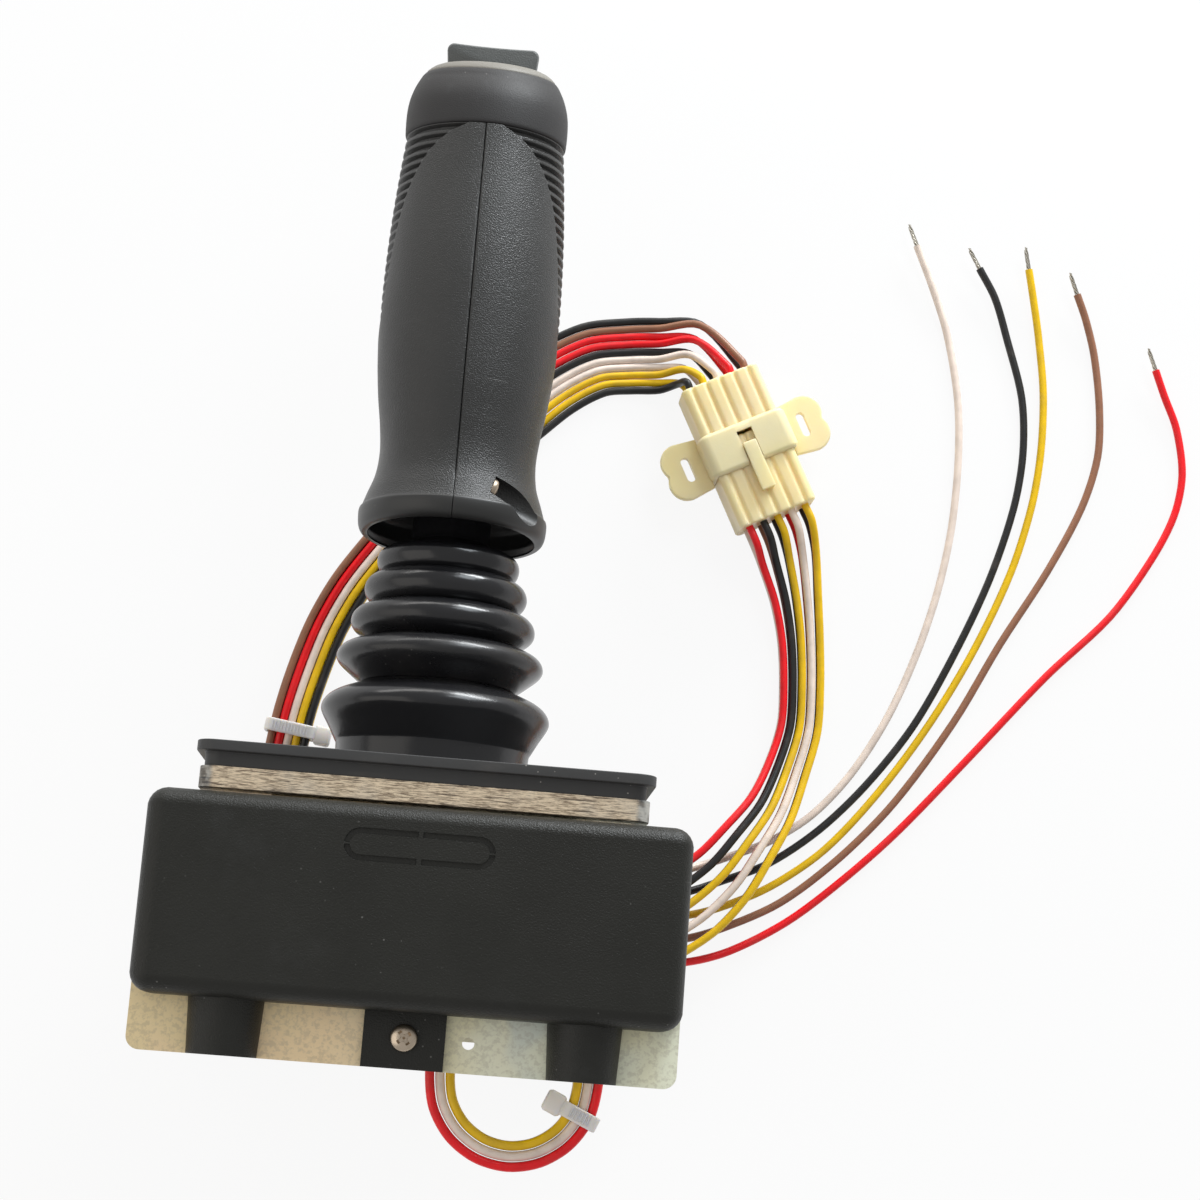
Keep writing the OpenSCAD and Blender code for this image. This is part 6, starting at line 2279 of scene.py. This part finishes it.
@dataclass
class Chassis:
    """Bracket, covers, board and their screws."""

    cover_screw: Point = (0.0, -55.7, 47.9)
    # How far the rear cover's screws stand out to each side, and where their heads and rows lie
    rear_out: float = 53.0
    rear_rows: tuple[float, float] = (-44.2, -11.8)
    rear_face: float = -54.0
    gate_out: float = 27.3
    gate_face: float = -50.9

    def build(self, looks: Finishes) -> None:
        """Dresses the chassis and rounds its moulded covers.

        Args:
            looks: The stick's finishes.
        """
        softened("chassis_bracket", looks.sheet, 0.15)
        softened("front_cover", looks.cover, 0.12, crease=32)
        softened("rear_cover", looks.cover, 0.6, steps=3)
        softened("side_grommet", looks.gasket, 0.5)
        softened("top_grommet", looks.gasket, 0.5)
        dress(looks.board, "circuit_board")
        dress(looks.dark, "board_parts")
        dress(looks.screw, "bracket_screws", "board_screws", "housing_screws")
        weave = scatter_weave()
        rear = [((x, y, self.rear_face), (0, 0, -1)) for x in (-self.rear_out, self.rear_out) for y in self.rear_rows]
        corners = (-self.gate_out, self.gate_out)
        gate = [((x, self.gate_face, z), (0, -1, 0)) for x in corners for z in corners]
        PanScrew(3.0, 6.0, 1.9, 6.2).set_in("cover_screw", [(self.cover_screw, (0, 0, 1))], looks.screw, weave)
        PanScrew(2.5, 5.0, 1.6, 11.0).set_in("rear_cover_screws", rear, looks.screw, weave)
        PanScrew(2.8, 5.5, 1.6, 8.6).set_in("gate_screws", gate, looks.screw, weave)
        log.info("chassis: bracket, two covers, board")


@dataclass
class Gimbal:
    """Housing, yokes, sensors and springs under the plate."""

    def build(self, looks: Finishes) -> None:
        """Dresses the mechanism.

        Args:
            looks: The stick's finishes.
        """
        softened("gimbal_housing", looks.casting, 0.4)
        softened("side_yoke", looks.steel, 0.2, "side_yoke")
        softened("fore_aft_yoke", looks.steel, 0.2, "fore_aft_yoke")
        dress(looks.brass, "fore_aft_bushes", "side_bushes")
        dress(looks.spring, "fore_aft_spring", "side_spring", "fore_aft_magnet", "side_magnet")
        dress(looks.gate, "gate_plate")
        dress(looks.dark, "fore_aft_sensor", "side_sensor")
        log.info("gimbal: housing, two yokes, gate")


# ------------------------------------------------------------------ studio


@dataclass
class Studio:
    """Camera, floor and lamps."""

    lens: float = 75.0
    eye: Point = (8.6, -63.9, 600.7)
    tilts: Point = (-11.09, 2.77, -4.34)
    floor: float = -66.0
    below: float = 0.2
    half_floor: float = 6.0
    sky: float = 0.52
    # Name, place and aim in metres, width and height in metres, watts, and tone
    lamps: tuple = (
        ("window", (0.50, 1.20, 0.24), (0.0, 0.05, 0.0), (0.6, 0.26), 15.0, (0.95, 0.98, 1.0)),
        ("far wall", (-0.45, 1.25, 0.22), (0.0, 0.05, 0.0), (1.1, 0.24), 4.0, (1.0, 0.98, 0.95)),
        ("key", (0.26, 0.56, 0.36), (0.02, 0.18, 0.0), (0.26, 0.26), 1.5, (0.88, 0.95, 1.0)),
        ("fill", (-1.2, -0.2, 0.9), (0.0, 0.0, 0.0), (1.5, 1.5), 5.0, (1.0, 0.95, 0.88)),
    )

    def camera(self) -> None:
        """Sets the camera over the stick."""
        data = bpy.data.cameras.new("camera")
        data.lens = self.lens
        data.sensor_width = 36.0
        data.clip_end = 50
        camera = stand("camera", data)
        about_x, about_y, about_z = (math.radians(t) for t in self.tilts)
        turn = Matrix.Rotation(about_z, 3, "Z") @ Matrix.Rotation(about_x, 3, "X") @ Matrix.Rotation(about_y, 3, "Y")
        camera.matrix_world = Matrix.Translation(Vector(self.eye) * MM) @ turn.transposed().to_4x4()
        bpy.context.scene.camera = camera

    def ground(self) -> None:
        """Lays a white floor that keeps the stick's shadow."""
        mesh = bpy.data.meshes.new("floor")
        z, half = (self.floor - self.below) * MM, self.half_floor
        mesh.from_pydata([(-half, -half, z), (half, -half, z), (half, half, z), (-half, half, z)], [], [(0, 1, 2, 3)])
        ground = stand("floor", mesh)
        shade = Shade("floor white")
        shade.wear(Base_Color=(0.82, 0.82, 0.82), Roughness=0.9, Specular_IOR_Level=0.1)
        path = shade.node("ShaderNodeLightPath")
        seen = Signal(shade, path.outputs["Is Camera Ray"]) + Signal(shade, path.outputs["Is Glossy Ray"])
        seen = seen + Signal(shade, path.outputs["Is Transmission Ray"])
        glow = shade.node("ShaderNodeEmission", None, {"Color": WHITE, "Strength": 1.0})
        mix = shade.node("ShaderNodeMixShader", None, {0: seen * 0.9, 1: shade.surface.outputs[0], 2: glow.outputs[0]})
        shade.set(shade.output.inputs["Surface"], mix.outputs[0])
        mesh.materials.append(shade.material)
        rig.stage(ground)

    def lamp(self, name: str, place: Point, aim: Point, size: tuple[float, float], power: float, tone: Colour) -> None:
        """Hangs one soft box.

        Args:
            name: The lamp's name.
            place: Where it hangs, in metres.
            aim: What it points at, in metres.
            size: Its width and height in metres.
            power: Its strength in watts.
            tone: Its colour.
        """
        data = bpy.data.lights.new(name, "AREA")
        data.shape = "RECTANGLE"
        data.size, data.size_y = size
        data.energy = power
        data.color = tone
        lamp = stand(name, data)
        lamp.location = place
        lamp.rotation_euler = (Vector(aim) - Vector(place)).to_track_quat("-Z", "Y").to_euler()

    def lights(self) -> None:
        """Lights the stick evenly, with a low window behind its cap and a key on the right."""
        for lamp in self.lamps:
            self.lamp(*lamp)
        world = bpy.data.worlds.new("room")
        bpy.context.scene.world = world
        world.use_nodes = True
        tree = Tree(world.node_tree)
        path = tree.node("ShaderNodeLightPath")
        plain = tree.node("ShaderNodeBackground", None, {"Color": WHITE, "Strength": self.sky})
        seen = tree.node("ShaderNodeBackground", None, {"Color": WHITE})
        mix = tree.node(
            "ShaderNodeMixShader", None,
            {0: path.outputs["Is Camera Ray"], 1: plain.outputs[0], 2: seen.outputs[0]},
        )
        tree.node("ShaderNodeOutputWorld", None, {0: mix.outputs[0]})

    def build(self) -> None:
        """Sets up the scene round the stick."""
        bpy.context.scene.view_settings.view_transform = "Standard"
        self.camera()
        self.ground()
        self.lights()
        log.info("studio: camera, floor and lamps")


def main() -> None:
    """Builds the stick, one sub-assembly after another."""
    logging.basicConfig(level=logging.INFO, format="%(message)s")
    cad_box = [list(corner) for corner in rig.bounds()]
    Studio().build()
    looks = Finishes()
    for part in (Harness(), Panel(), Boot(), Grip(), SwitchCap(), Chassis(), Gimbal()):
        part.build(looks)
    with open("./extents.json", "w") as sizes:
        json.dump({"cad": cad_box, "dressed": [list(corner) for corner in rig.bounds()]}, sizes)


if __name__ == "__main__":
    main()
